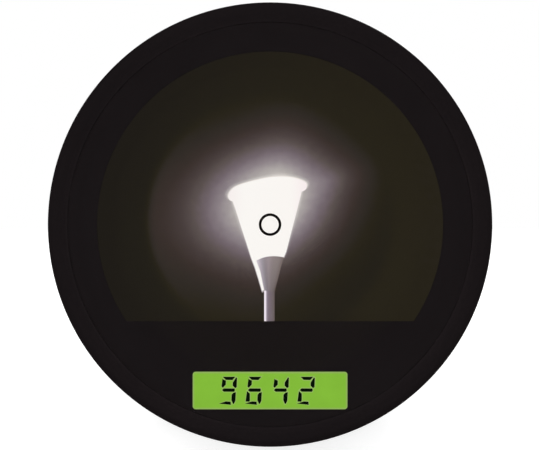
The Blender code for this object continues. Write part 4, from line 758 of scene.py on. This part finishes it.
digit_unit = column_at(display_depth)
digits_middle = (-2.64 * digit_unit, -165.96 * digit_unit)
digits_pitch = 25.93 * digit_unit
segment_black = grained("liquid crystal segment", "#071206", "#0a1808", 0.9, 0.02, 0.2, 0.02)
stray_green = lit("stray light at a segment's edge", ((0.0, "#98bb62"), (1.0, "#9dbe6c")), -60, 60)
segment_edges = digits_shape(digits_middle, digits_pitch, digit_unit, 14.09, grown=0.7)
settle(made("segment_edges", segment_edges, stray_green), "meter", "liquid_crystal_cell")
finder_digits = digits_shape(digits_middle, digits_pitch, digit_unit, 14.06)
settle(made("finder_digits", finder_digits, segment_black), "meter", "liquid_crystal_cell")


# Green light guide, screen frame and finder barrel: a moulded acrylic block lit by diodes, held by
# black anodised aluminium frames against the screen. They only show from inside.
def tinted(name, dark, light, rough, cloud_mm, glow=0.0, metallic=0.0):
    """A plain inner finish, with a soft cloud of shade at a given size."""
    look, tree, shader, place = begin(name)
    cloud = add(tree, "TexNoise", {"Vector": place, "Scale": 1 / (cloud_mm * MM), "Detail": 3})
    share = add(tree, "MapRange", swing(cloud))
    colour = add(tree, "Mix", {0: share, 6: dark, 7: light}, data_type="RGBA").outputs[2]
    height = add(tree, "Bump", {"Height": cloud, "Strength": 0.1, "Distance": 0.05 * MM})
    plug(tree, shader, {"Base Color": colour, "Normal": height, "Roughness": rough, "Metallic": metallic})
    if glow:
        plug(tree, shader, {"Emission Color": colour, "Emission Strength": glow})
    return look


def dressed(finish, *nodes):
    """Gives the CAD nodes of this kind a better finish."""
    for name in nodes:
        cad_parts[name].material_slots[0].material = finish


dressed(tinted("lit acrylic light guide", "#78b032", "#8cc644", 0.4, 6, 1.0), "finder_backlight")
dressed(inner_anodised, "screen_frame", "finder_barrel")


# Optical bench and what it carries: a die cast channel, vibration finished to a dull silver, with
# polished glass blocks and dead black tubes seated on it.
cast_bare = grained(
    "vibration finished aluminium casting", "#8f9092", "#a6a7a8", 0.5, 0.35, 0.5, metallic=0.9
)
prism_glass = coated("polished prism glass", "#101418", 0.12, 0.5)
dressed(cast_bare, "optical_bench")
dressed(prism_glass, "erecting_prism", "beam_splitter", "relay_lens")
dressed(mask_black, "relay_cell", "detector_housing", "measure_switch", "battery_box")
dressed(inner_anodised, "measuring_aperture")
dressed(tinted("green correction filter glass", "#4a6b2c", "#5c7f38", 0.15, 4), "luminosity_filter")
dressed(tinted("nickel plated can", "#a9aaa8", "#bcbdba", 0.3, 2, metallic=1.0), "photodiode")


# Circuit boards: glass epoxy under green solder mask. The copper under the mask shows as a net of
# slightly raised, lighter lines.
look, tree, shader, place = begin("green solder mask")
lane_sizes = {"Scale": 1 / (5 * MM), "Mortar Size": 0.04, "Brick Width": 0.7, "Row Height": 0.22}
lane_colours = {"Color1": "#1d4a2a", "Color2": "#22552f", "Mortar": "#2f6b3c"}
lanes = add(tree, "TexBrick", {"Vector": place, **lane_colours, **lane_sizes}).outputs
ridge = add(tree, "Bump", {"Height": lanes["Fac"], "Strength": 0.3, "Distance": 0.05 * MM})
plug(tree, shader, {"Base Color": lanes["Color"], "Normal": ridge, "Roughness": 0.38})
dressed(look, "main_board", "display_board")


# Housing halves: injection moulded ABS in graphite grey, with a fine spark-eroded grain. They meet
# in a fine V at the split, and four long screws pull them together.
graphite_abs = grained(
    "spark grained graphite ABS", "#2b2d30", "#36383b", 0.55, 0.6, 0.42, 0.4, depth_mm=0.05
)
housing_rear, shoulder_length, housing_front = 33.8, 12.5, 127.402
rear_half, rear_corner = 33.536, 33.036
half_wide, half_high, housing_corner, front_rounding = 34, 36, 18, 3
wall_inside, wall_outside = 31.8, 34
skin_thickness, split_half_gap, split_bevel = 2.2, 0.15, 0.35


def mixed(start, end, share):
    """A size part of the way from one to another."""
    return start + (end - start) * share


def housing_rows():
    """Depth, half width, half height and corner radius along the housing, rear to front."""
    rows = []
    for step in range(15):
        share = step / 14
        ease = share * share * (3 - 2 * share)
        starts, ends = (rear_half, rear_half, rear_corner), (half_wide, half_high, housing_corner)
        sizes = [mixed(start, end, ease) for start, end in zip(starts, ends)]
        rows.append((housing_rear + shoulder_length * share, *sizes))
    for step in range(7):
        angle = math.radians(60 * step / 6)
        inset = front_rounding * (1 - math.cos(angle))
        depth = housing_front + front_rounding * math.sin(angle)
        rows.append((depth, half_wide - inset, half_high - inset, housing_corner - inset))
    return rows


def skinned(rings):
    """A closed solid over rings of points in metres, each with as many points as the next."""
    shape = bmesh.new()
    rows = [[shape.verts.new(point) for point in ring] for ring in rings]
    for near, far in zip(rows, rows[1:]):
        for step in range(len(near)):
            after = (step + 1) % len(near)
            shape.faces.new((near[step], near[after], far[after], far[step]))
    shape.faces.new(rows[0])
    shape.faces.new(rows[-1])
    return shape


def lofted(rows, axis="X"):
    """A closed solid through flat outlines, each at its own place along an axis of the meter's frame."""
    rings = []
    for along, outline in rows:
        places = [{"X": (along, u, v), "Y": (u, along, v), "Z": (u, v, along)}[axis] for u, v in outline]
        rings.append([Vector(place) * MM for place in places])
    return skinned(rings)


def boxed(rows, u, v, steps=6, axis="X"):
    """A closed solid through rounded boxes, each a place along the axis, two half sizes and a corner."""
    return lofted([(along, rounded_box(*sizes, u, v, steps)) for along, *sizes in rows], axis)


def rounds(rows, u, v, steps=48, axis="X"):
    """A closed solid through circles, each a place along the axis and a radius."""
    last = 360 - 360 / steps
    return lofted([(along, arc(radius, 0, last, steps - 1, u, v)) for along, radius in rows], axis)


def rod(radius, start, end, u, v, steps=48, axis="X"):
    """A straight round rod."""
    return rounds([(start, radius), (end, radius)], u, v, steps, axis)


def opening(half_u, half_v, corner, u, v, side, flare):
    """A cutter for the left or right wall that widens a little where it meets the outer face."""
    inside, face = side * wall_inside, side * wall_outside
    flares = [(inside - side, 0), (face - side * flare, 0), (face - side * flare * 0.35, flare * 0.3)]
    flares += [(face, flare), (face + side, flare + 0.4)]
    return boxed([(x, half_u + wider, half_v + wider, corner + wider) for x, wider in flares], u, v)


def carved(piece, *shapes, operation="DIFFERENCE"):
    """Cuts finished shapes out of a piece, or joins them to it."""
    finish = piece.data.materials[0]
    for shape in shapes:
        bmesh.ops.recalc_face_normals(shape, faces=shape.faces)
        tool = placed("tool", mesh_of("tool", shape))
        change = piece.modifiers.new("change", "BOOLEAN")
        change.operation = operation
        change.solver = "EXACT"
        change.object = tool
        result = worked_out(piece)
        piece.modifiers.clear()
        piece.data = result
        bpy.data.objects.remove(tool, do_unlink=True)
    finished(piece.data, finish)
    return piece


def world_piece(name, shape, finish):
    """A piece from a finished shape in the meter's own frame."""
    piece = made(name, shape, finish)
    piece.location = (0, 0, 0)
    return piece


def housing_shape(side):
    """One half as a closed solid: outer skin, fine V at the split and inner skin."""
    rows = []
    for depth, half_width, half_height, corner in housing_rows():
        outline = []
        for inset, bevel in ((0, split_bevel), (skin_thickness, 0.0)):
            wide, high, round_by = half_width - inset, half_height - inset, corner - inset
            top = arc(round_by, 90, 0, 18, wide - round_by, high - round_by)
            low = arc(round_by, 0, -90, 18, wide - round_by, round_by - high)
            lip = split_half_gap + bevel + 0.01
            skin = [(split_half_gap, high - bevel), (lip, high)] + top
            skin += low + [(lip, -high), (split_half_gap, bevel - high)]
            outline += list(reversed(skin)) if inset else skin
        middle_z = axis_z / MM
        rows.append((depth + rim_y / MM, [(side * u, v + middle_z) for u, v in outline]))
    return lofted(rows, "Y")


def grip_grooves(side):
    """Round-ended grooves along the lower corner, where the fingers close round the meter."""
    groove_rows = [(-24, 0.1), (-23.8, 0.45), (-23.3, 0.65), (27.3, 0.65), (27.8, 0.45), (28, 0.1)]
    grooves = []
    for step in range(9):
        angle = math.radians(-12 - 8 * step)
        x, z = side * (16 + 18.25 * math.cos(angle)), 21.3 + 18.25 * math.sin(angle)
        grooves.append(rounds(groove_rows, x, z, 12, "Y"))
    return grooves


display_y, display_z = centre("side_window")[1:]
switch_y, switch_z = centre("power_switch")[1:]
port_y, port_z = centre("interface_port")[1:]
lug_y = centre("left_strap_lug")[1]
button_y = centre("measure_button")[1]
screw_places = [centre(f"housing_screw_{number}")[1:] for number in (1, 2, 3, 4)]
left_openings = [
    opening(20.8, 10.8, 2.0, display_y, display_z, -1, 0.5),
    opening(5.3, 2.8, 1.1, *centre("mode_key")[1:], -1, 0.3),
    opening(5.3, 2.8, 1.1, *centre("hold_key")[1:], -1, 0.3),
    opening(1.6, 4.3, 0.8, switch_y, sight_z, -1, 0.2),
    opening(4.7, 2.0, 1.4, port_y, port_z, -1, 0.2),
]
right_openings = [opening(28.75, 17.7, 1.6, *centre("battery_door")[1:], 1, 0.25)]
screw_hole_rows = [(31, 2.6), (33.7, 2.6), (34.01, 2.9), (35, 3.9)]
screw_holes = [rounds(screw_hole_rows, y, z, 32) for y, z in screw_places]
for name, node, side, openings, holes in (
    ("left_half", "left_housing", -1, left_openings, []),
    ("right_half", "right_housing", 1, right_openings, screw_holes),
):
    lug_hole = rod(1.8, side * 33 - 2, side * 33 + 2, lug_y, sight_z, 24)
    button_hole = rod(7.6, 72, 77, 0, button_y, 64, "Z")
    tripod_hole = rod(6.3, 2, 7, 0, 0, 64, "Z")
    half = world_piece(name, housing_shape(side), graphite_abs)
    carved(half, *openings, lug_hole, button_hole, tripod_hole, *holes)
    carved(half, *grip_grooves(side))
    settle(half, "meter", "graphite_abs", node)


# Housing screws: zinc plated steel with a rounded pan head and a cross recess, sunk below the
# housing's face. The plating gives a bright, slightly yellow grey.
zinc_steel = spun("zinc plated steel", "#b4b3ad", 0.3, 0.3, 0.15, metallic=1.0)
screw_rows = [(33.7, 0.01), (33.7, 1.7), (33.55, 2.1), (33.2, 2.3), (32.3, 2.3), (32.3, 1.0), (-3.7, 1.0)]
for number, (y, z) in enumerate(screw_places):
    screw = world_piece(f"screw_{number + 1}", rounds(screw_rows, y, z, 32), zinc_steel)
    for wide, high in ((1.5, 0.3), (0.3, 1.5)):
        carved(screw, boxed([(32.7, wide * 0.6, high * 0.6, 0.1), (33.9, wide, high, 0.15)], y, z, 2))
    settle(screw, "meter", "steel", f"housing_screw_{number + 1}")


# Base plate and tripod bush: an aluminium casting, blasted to an even grey, with a turned brass bush
# that carries the tripod thread.
blasted_aluminium = grained("blasted aluminium", "#7d7e80", "#8f9092", 0.58, 0.4, 0.3, metallic=0.85)
foot_rows = [(0.0, 14.5, 32.5, 4.5), (0.5, 15, 33, 5), (2.8, 15, 33, 5), (3.0, 14.8, 32.8, 4.8)]
foot = world_piece("foot_plate", boxed(foot_rows, 0, 0, 10, "Z"), blasted_aluminium)
carved(foot, rounds([(-1, 7.8), (0, 6.8), (0.5, 6.3), (4, 6.3)], 0, 0, 64, "Z"))
foot_groove = [(-0.5, 11.5, 0.5, 0.45), (0.4, 11.3, 0.3, 0.28)]
for side in (-1, 1):
    carved(foot, *[boxed(foot_groove, 0, side * (12 + 3 * step), 4, "Z") for step in range(6)])
settle(foot, "meter", "cast_aluminium", "base_plate")
turned_brass = spun("turned brass", "#b8965a", 0.28, 0.2, 0.2, metallic=1.0)
bush_rows = [(0.2, 5.6), (0.6, 6.0), (5.8, 6.0), (5.8, 8.0), (7.2, 8.0), (7.2, 6.0), (9.4, 6.0)]
bush = world_piece("tripod_insert", rounds(bush_rows, 0, 0, 64, "Z"), turned_brass)
thread_pitch, thread_crest, thread_root = 1.27, 3.18, 3.6
thread_rows = [(-0.3, 4.2), (0.7, 3.2)]
for turn in range(6):
    thread_rows += [(0.75 + thread_pitch * turn, thread_crest), (1.385 + thread_pitch * turn, thread_root)]
thread_rows += [(8.3, thread_crest), (8.4, 3.0)]
carved(bush, rounds(thread_rows, 0, 0, 48, "Z"))
settle(bush, "meter", "brass", "tripod_bush")


# Front plate: rolled aluminium, milled to shape, brushed across and clear anodised. The brushing
# draws its gleam out into a band across the strokes.
look, tree, shader, place = begin("brushed clear anodised aluminium")
stroke_length, stroke_width = 14 * MM, 0.35 * MM
strokes = (1 / stroke_length, 1 / stroke_width, 1 / stroke_width)
stretch = add(tree, "Mapping", {"Vector": place, "Scale": strokes})
brush = add(tree, "TexNoise", {"Vector": stretch, "Scale": 1, "Detail": 3})
share = add(tree, "MapRange", swing(brush))
colour = add(tree, "Mix", {0: share, 6: "#8b8d90", 7: "#a3a5a8"}, data_type="RGBA").outputs[2]
gloss = add(tree, "MapRange", swing(brush, 0.34, 0.46))
height = add(tree, "Bump", {"Height": brush, "Strength": 0.15, "Distance": 0.02 * MM})
plug(tree, shader, {"Base Color": colour, "Roughness": gloss, "Normal": height, "Metallic": 1})
plate_rows = []
for y, inset in ((47.4, 0.2), (47.6, 0), (50.2, 0), (50.9, 0.7)):
    plate_rows.append((y, 32.5 - inset, 34.5 - inset, 16.5 - inset))
nose_plate = world_piece("nose_plate", boxed(plate_rows, 0, sight_z, 24, "Y"), look)
carved(nose_plate, rod(22.3, 46, 52, 0, sight_z, 96, "Y"))
settle(nose_plate, "meter", "machined_aluminium", "front_plate")


# Lens sleeve and objective barrel: turned aluminium, black anodised. The hood's mouth is cut in
# fine steps that swallow stray light.
sleeve_corners = [
    (156.0, 22.0), (136.1, 22.0), (136.1, 26.0, 0.3), (134.1, 26.0, 0.3),
    (134.1, 22.0), (127.3, 22.0), (127.3, 20.3), (156.0, 20.3),
]
settle(turned("sleeve", eased(sleeve_corners), black_anodised), "meter", "black_anodised", "lens_sleeve")
barrel_corners = [
    (127.3, 18.22), (127.3, 20.02), (156.8, 20.02), (156.8, 25.3, 0.4), (162.0, 25.3, 0.15),
    (162.2, 25.05, 0.05), (162.7, 25.05, 0.05), (162.9, 25.3, 0.15), (165.8, 25.3, 0.6), (165.8, 22.2, 0.3),
]
hood_front, hood_radius, stair_length, stair_height = 165.3, 22.2, 0.6, 0.44
for step in range(8):
    depth, radius = hood_front - stair_length * step, hood_radius - stair_height * step
    barrel_corners += [(depth, radius, 0.02), (depth, radius - stair_height, 0.02)]
barrel_corners += [
    (160.3, 18.22), (154.9, 18.22), (154.9, 16.92), (153.3, 16.92), (153.3, 18.22),
    (136.1, 18.22), (136.1, 16.92), (134.5, 16.92), (134.5, 18.22),
]
barrel = turned("barrel", eased(barrel_corners), black_anodised)
settle(barrel, "objective", "black_anodised", "objective_barrel")


# Lenses: ground and polished dense flint, with a coating that shows violet, and a dark ring that
# holds the front one.
objective_glass = coated("violet coated flint glass", "#0c0c12", 0.1, 0.55, 520, 1.62)


def lens_rows(radius, rear, front, rear_bulge, front_bulge):
    """A lens outline, closed on the line of sight, with both faces as shallow domes."""
    shares = [step / 12 for step in range(13)]
    rows = [(rear - rear_bulge * (1 - share**2), radius * share) for share in shares]
    return rows + [(front + front_bulge * (1 - share**2), radius * share) for share in reversed(shares)]


for name, node, *sizes in (
    ("front_element", "front_lens", 155.2, 158.4, 0, 1.9),
    ("rear_element", "rear_lens", 131.4, 134.2, 1.1, 0),
):
    element = turned(name, lens_rows(17.92, *sizes), objective_glass)
    settle(element, "objective", "coated_glass", node)
keeper_corners = [(160.3, 17.92), (158.7, 17.92), (158.7, 16.62), (160.3, 16.62)]
keeper = turned("lens_keeper", eased(keeper_corners, 0.3), black_anodised)
settle(keeper, "objective", "black_anodised", "lens_retaining_ring")


# Focus ring: a turned ring inside a moulded rubber sleeve with straight grip ribs. Its bare band
# carries the distance scale, engraved and filled with white lacquer.
ribs = 72
rib_from, rib_to, rib_foot, rib_height = 141.2, 154.6, 26.9, 0.75
rib_crest = 27.48


def grip(depth, radius, angle):
    """The sleeve's radius with its grip: flat-topped ribs with soft gaps between them."""
    if radius < rib_foot or not rib_from < depth < rib_to:
        return radius
    wave = abs((angle * ribs / math.pi) % 2 - 1)
    return radius - rib_height * min(1, max(0, 2.2 * wave - 0.9))


focus_corners = [
    (155.8, 26.9, 0.2), (155.3, 27.45, 0.2), (154.7, rib_crest, 0.1), (154.5, rib_crest, 0.01),
    (148.0, rib_crest, 0.01), (141.3, rib_crest, 0.01), (141.1, rib_crest, 0.1),
    (140.8, 27.2, 0.15), (140.8, 24.0), (155.8, 24.0),
]
ribbed_rubber = grained("ribbed nitrile rubber", "#1a1819", "#242122", 0.8, 0.35, 0.35, 0.15)
grip_sleeve = turned("focus_grip", eased(focus_corners, steps=2), ribbed_rubber, ribs * 6, grip, 30)
settle(grip_sleeve, "focus", "black_rubber")
band_radius = 26.8
band_corners = [
    (155.8, 23.9), (140.7, 23.9), (140.7, band_radius, 0.2), (136.7, band_radius, 0.3),
    (136.4, 26.4, 0.1), (136.4, 22.28), (155.8, 22.28),
]
settle(turned("focus_band", eased(band_corners), black_anodised), "focus", "black_rubber", "focus_ring")


def letter_shape(text, height, thickness=0.05):
    """Plain figures or letters as a thin flat shape, centred."""
    curve = bpy.data.curves.new(text, "FONT")
    curve.body = text
    curve.size = height * 1.4
    curve.align_x = "CENTER"
    curve.align_y = "CENTER"
    curve.extrude = thickness / 2
    curve.resolution_u = 3
    return filled(curve, 0.001)


focus_marks = []
for text, degrees in (("1", -60), ("1.2", -36), ("1.5", -13), ("2", 10), ("3", 34), ("5", 58), ("10", 84)):
    angle = math.radians(degrees)
    focus_marks.append(wrapped(letter_shape(text, 1.7), angle, 139.3, band_radius))
    focus_marks.append(wrapped(bar_shape(0.25, 0.8), angle, 137.4, band_radius))
settle(made("focus_scale", together(*focus_marks), white_lacquer), "focus", "black_rubber")
sleeve_index = wrapped(bar_shape(0.35, 1.4), 0, 135.1, 26.0)
settle(made("sleeve_index", together(sleeve_index), white_lacquer), "meter", "black_anodised")


# Measuring button: a polished orange ABS cap with a dished top, which the finger finds by its colour
# and gloss, in a turned and clear anodised aluminium guide.
guide_rows = [(61.1, 7.3), (75.6, 7.3), (75.6, 8.9), (75.7, 9.0)]
guide_rows += [(76.4, 9.0), (76.7, 8.8), (76.8, 8.5), (76.8, 6.6)]
turned_clear = spun("turned clear anodised aluminium", "#9b9da0", 0.34, 0.22, 0.2, metallic=1.0)
guide = world_piece("button_collar", rounds(guide_rows, 0, button_y, 64, "Z"), turned_clear)
guide_bore = rounds([(62.3, 6.3), (76.6, 6.3), (77, 6.8)], 0, button_y, axis="Z")
carved(guide, guide_bore, rod(2.0, 60, 63, 0, button_y, axis="Z"))
settle(guide, "meter", "machined_aluminium", "button_guide")
orange_abs = grained("polished orange ABS", "#c4601a", "#cf6c22", 0.36, 0.12, 0.5)
cap_rows = [(67.9, 1.8), (68.1, 2.0), (71.3, 2.0), (71.3, 5.8), (71.5, 6.0)]
cap_rows += [(78.2, 6.0), (78.5, 5.9), (78.7, 5.65), (78.8, 5.3), (78.8, 5.0)]
cap_rows += [(78.62, 4.2), (78.42, 3.2), (78.27, 2.0), (78.2, 0.9), (78.19, 0.02)]
cap = world_piece("button_cap", rounds(cap_rows, 0, button_y, 64, "Z"), orange_abs)
settle(cap, "button", "orange_abs", "measure_button")


# Button spring: hard drawn steel wire, coiled with both end turns closed flat.
coil_radius, wire_radius, press_travel = 3.6, 0.3, 1.2
spring_low, spring_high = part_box("button_spring")
coil_rise = spring_high.z - spring_low.z - 2 * wire_radius * MM
coil_rings = []
for step in range(121):
    share = min(1, max(0, (step - 18) / 84))
    turn = math.radians(12 * step)
    ring = []
    for corner in range(8):
        angle = math.radians(45 * corner)
        reach = coil_radius * MM + wire_radius * MM * math.cos(angle)
        height = spring_low.z + wire_radius * MM * (1 + math.sin(angle)) + share * coil_rise
        ring.append((reach * math.cos(turn), button_y * MM + reach * math.sin(turn), height))
    coil_rings.append(ring)
spring_steel = spun("hard drawn steel wire", "#96958f", 0.3, 0.15, 0.1, metallic=1.0)
spring = world_piece("coil_spring", skinned(coil_rings), spring_steel)
settle(spring, "meter", "steel", "button_spring")
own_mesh(spring)


# Mode key, hold key and power switch: light grey ABS, moulded with softened edges. The switch has
# five grip ribs, and the keys have a raised bar and a raised dot that the thumb can feel.
def block(start, end, half_u, half_v, corner, u, v, steps=6):
    """A straight rounded block from side to side of the meter."""
    return boxed([(start, half_u, half_v, corner), (end, half_u, half_v, corner)], u, v, steps)


light_abs = grained("light grey ABS", "#8b8d8f", "#97999b", 0.45, 0.25, 0.4, 0.45)
key_rows = [(-30.7, 5.9, 3.4, 0.8), (-31.5, 5.9, 3.4, 0.8), (-31.5, 5, 2.5, 0.9), (-34.6, 5, 2.5, 0.9)]
key_rows += [(-34.85, 4.9, 2.4, 0.85), (-34.98, 4.65, 2.15, 0.7)]
key_rows += [(-34.9, 4.2, 1.7, 0.5), (-34.82, 3.4, 0.9, 0.3)]
for name, node, body in (("mode_cap", "mode_key", "mode"), ("hold_cap", "hold_key", "hold")):
    y, z = centre(node)[1:]
    settle(world_piece(name, boxed(key_rows, y, z), light_abs), body, "light_abs", node)
    if body == "mode":
        mark = boxed([(-34.7, 1.7, 0.28, 0.25), (-34.87, 1.65, 0.23, 0.2)], y, z, 4)
    else:
        mark = rounds([(-34.7, 0.62), (-34.87, 0.57)], y, z, 24)
    settle(world_piece(name + "_mark", mark, white_lacquer), body, "light_abs")
knob_rows = [(-34.3, 2.5, 4, 0.6), (-35.3, 2.5, 4, 0.6), (-35.55, 2.35, 3.8, 0.5)]
knob = world_piece("switch_knob", boxed(knob_rows, switch_y, switch_z), light_abs)
knob_rib = [(-35.3, 2.2, 0.5, 0.2), (-36.0, 2.0, 0.25, 0.15)]
knob_ribs = [boxed(knob_rib, switch_y, z, 2) for z in (34.7, 36.0, switch_z, 38.6, 39.9)]
neck = block(-34.5, -31.4, 1.3, 2.0, 0.2, switch_y, switch_z, 2)
inner_plate = block(-31.5, -30.5, 2.5, 6.6, 0.2, switch_y, switch_z, 2)
carved(knob, *knob_ribs, neck, inner_plate, operation="UNION")
settle(knob, "switch", "light_abs", "power_switch")


def sidelong(shape, y, z, x):
    """Stands a flat shape with its width and height on the housing's left face."""
    for vertex in shape.verts:
        across, up, lift = vertex.co
        vertex.co = Vector((x - lift, y - across, z + up)) * MM
    return shape


printed_face, letter_height = -34.01, 1.7
switch_marks = []
for text, z in (("ON", 47.3), ("OFF", 31.3)):
    switch_marks.append(sidelong(letter_shape(text, letter_height), switch_y, z, printed_face))
settle(world_piece("switch_lettering", together(*switch_marks), white_lacquer), "meter", "graphite_abs")


# Outside display: a reflective liquid crystal cell, grey-green and matt, behind a clear acrylic
# window, with a black printed border on the window's back.
side_cell_look = tinted("reflective liquid crystal cell", "#8b9684", "#95a08d", 0.35, 5)
side_cell_shape = block(-31.5, -29.5, 21.7, 11.7, 0.2, display_y, display_z, 2)
side_cell = world_piece("side_display_cell", side_cell_shape, side_cell_look)
settle(side_cell, "meter", "liquid_crystal_cell", "side_lcd")


def leftward(shape, x):
    """Turns a sheet made across the line of sight so that it faces left in the side display."""
    bmesh.ops.rotate(shape, matrix=Matrix.Rotation(math.radians(-90), 3, "Z"), verts=shape.verts)
    bmesh.ops.translate(shape, vec=Vector((x, display_y, display_z)) * MM, verts=shape.verts)
    return shape


border_outlines = [rounded_box(20.4, 10.4, 1.6), rounded_box(18.0, 7.6, 0.8)]
border_shape = leftward(sheet_shape(border_outlines, 0, 0.05), -31.68)
settle(world_piece("display_border", border_shape, mask_black), "meter", "clear_acrylic")
side_digits = leftward(digits_shape((0, 0), 8.2, 0.37, 0, 0.03), -31.53)
settle(world_piece("side_digits", side_digits, segment_black), "meter", "liquid_crystal_cell")
window_rows = [(-31.8, 20.5, 10.5, 1.7), (-34.0, 20.5, 10.5, 1.7), (-34.2, 20.3, 10.3, 1.5)]
window_look = coated("clear acrylic", "#101214", 0.04, 0.35, 0)
window = world_piece("display_window", boxed(window_rows, display_y, display_z), window_look)
settle(window, "meter", "clear_acrylic", "side_window")


# Battery door: a moulded ABS panel whose lower edge turns on a zinc plated steel pin, with finger
# grooves and a sliding latch in light grey.
dressed(zinc_steel, "door_hinge_pin")
pin_x, door_y, pin_z = centre("door_hinge_pin")
panel_rows = [(31.9, 28.45, 16.9, 1.2), (33.7, 28.45, 16.9, 1.2), (33.9, 28.25, 16.7, 1.0)]
panel = world_piece("door_panel", boxed(panel_rows, door_y, sight_z), graphite_abs)
carved(panel, rod(1.0, -23.75, 33.15, pin_x, pin_z, 32, "Y"), operation="UNION")
panel_groove = [(33.55, 7, 0.3, 0.25), (34.2, 7.3, 0.55, 0.5)]
carved(
    panel,
    rod(0.75, -25, 35, pin_x, pin_z, 24, "Y"),
    block(31, 35, 2.8, 2.2, 0.4, door_y, 54.3),
    *[boxed(panel_groove, door_y, z, 3) for z in (43.0, 44.6, 46.2, 47.8)],
)
settle(panel, "door", "graphite_abs", "battery_door")
latch_z = centre("battery_latch")[2]
latch_rows = [(34.2, 5, 2.5, 0.6), (34.9, 5, 2.5, 0.6), (35.1, 4.8, 2.3, 0.5)]
thumb = world_piece("door_latch", boxed(latch_rows, door_y, latch_z), light_abs)
thumb_rib = [(34.9, 4.3, 0.35, 0.2), (35.4, 4.1, 0.18, 0.1)]
carved(
    thumb,
    *[boxed(thumb_rib, door_y, z, 2) for z in (51.8, 52.85, 53.9, 54.95)],
    block(31.0, 34.5, 2.5, 1.0, 0.1, door_y, latch_z, 2),
    block(30.4, 31.6, 5, 1.75, 0.2, door_y, 54.15, 2),
    operation="UNION",
)
settle(thumb, "latch", "light_abs", "battery_latch")


# Battery cells: steel cans in a printed shrink film, charcoal with a copper coloured shoulder. The
# film is smooth and glossy, with a faint unevenness where it has shrunk.
look, tree, shader, place = begin("printed shrink film")
along = add(tree, "SeparateXYZ", {"Vector": place}).outputs["Y"]
bands = add(tree, "MapRange", {"Value": along, 1: -21 * MM, 2: 31 * MM})
film_tones = ((0.0, "#c9c7c2"), (0.025, "#24272b"), (0.70, "#b06f3c"), (0.96, "#c9c7c2"))
ramp = add(tree, "ValToRGB", {"Fac": bands}, film_tones)
ramp.color_ramp.interpolation = "CONSTANT"
film = add(tree, "TexNoise", {"Vector": place, "Scale": 1 / (2 * MM), "Detail": 2})
film_gloss = add(tree, "MapRange", swing(film, 0.22, 0.32))
plug(tree, shader, {"Base Color": ramp, "Roughness": film_gloss, "Metallic": 0.4})
cell_rows = [(-20.55, 5.5), (-20.5, 5.6), (-20.3, 5.7), (-20.3, 6.9), (-20.1, 7.2), (28.3, 7.25)]
cell_rows += [(28.8, 7.1), (28.95, 6.8), (28.95, 2.9), (29.1, 2.75), (29.8, 2.7), (29.95, 2.5)]
for name, node, turned_round in (
    ("lower_cell", "battery_cell_lower", False),
    ("upper_cell", "battery_cell_upper", True),
):
    cell_x, cell_y, cell_z = centre(node)
    rows = [(2 * cell_y - y if turned_round else y, radius) for y, radius in cell_rows]
    cell = world_piece(name, rounds(rows, cell_x, cell_z, 48, "Y"), look)
    settle(cell, "meter", "cell_jacket", node)
contact_nickel = tinted("nickel plated spring steel", "#a5a6a3", "#b9bab6", 0.32, 2, metallic=1.0)
dressed(contact_nickel, "battery_contact_front", "battery_contact_rear")


# Interface port and its cover: a drawn and zinc plated steel shell, and a moulded rubber flap with
# three finger grooves and a plug behind, satin from its polished mould.
port_shell = world_piece("port_shell", block(-33.6, -26.6, 4.4, 1.7, 1.3, port_y, port_z), zinc_steel)
carved(port_shell, block(-34.5, -27.1, 3.9, 1.2, 0.9, port_y, port_z))
settle(port_shell, "meter", "steel", "interface_port")
flap_rubber = grained("satin nitrile rubber", "#202022", "#29292b", 0.62, 0.4, 0.35, 0.35)
flap_rows = [(-34.3, 6.25, 4.25, 1.4), (-35.4, 6.25, 4.25, 1.4)]
flap_rows += [(-35.75, 6.05, 4.05, 1.2), (-35.85, 5.7, 3.7, 0.9)]
flap = world_piece("port_flap", boxed(flap_rows, port_y, port_z), flap_rubber)
flap_groove = [(-35.6, 0.35, 2.6, 0.3), (-36.2, 0.6, 2.85, 0.5)]
carved(flap, *[boxed(flap_groove, y, port_z, 3) for y in (39.6, 40.8, 42.0)])
plug_rows = [(-34.5, 2.9, 0.8, 0.5), (-32.7, 2.8, 0.7, 0.4)]
carved(flap, boxed(plug_rows, 36.6, port_z, 3), operation="UNION")
settle(flap, "cover", "black_rubber", "port_cover")


# Strap lugs: bent and polished stainless steel loops with a shank through the wall. The polish gives
# them the brightest gleam on the meter.
polished_steel = spun("polished stainless steel", "#c0bfbb", 0.2, 0.4, 0.1, metallic=1.0)
lug_rows = [(-32.4, 0.45), (-32.05, 0.1), (-31.7, 0), (-30.1, 0), (-29.75, 0.1), (-29.4, 0.45)]
for name, node, side in (("left_loop", "left_strap_lug", -1), ("right_loop", "right_strap_lug", 1)):
    loops = [(y, rounded_box(2.1 - inset, 6 - inset, 1.5, 36.4, sight_z, 10)) for y, inset in lug_rows]
    hole = rounded_box(0.95, 3.8, 0.9, 36.35, sight_z, 8)
    loop_shape, hole_shape = [
        lofted([(y, [(side * u, v) for u, v in outline]) for y, outline in rows], "Y")
        for rows in (loops, [(-33, hole), (-29, hole)])
    ]
    loop = world_piece(name, loop_shape, polished_steel)
    carved(loop, hole_shape)
    carved(loop, rod(1.5, side * 30.5, side * 34.8, lug_y, sight_z, 32), operation="UNION")
    settle(loop, "meter", "steel", node)
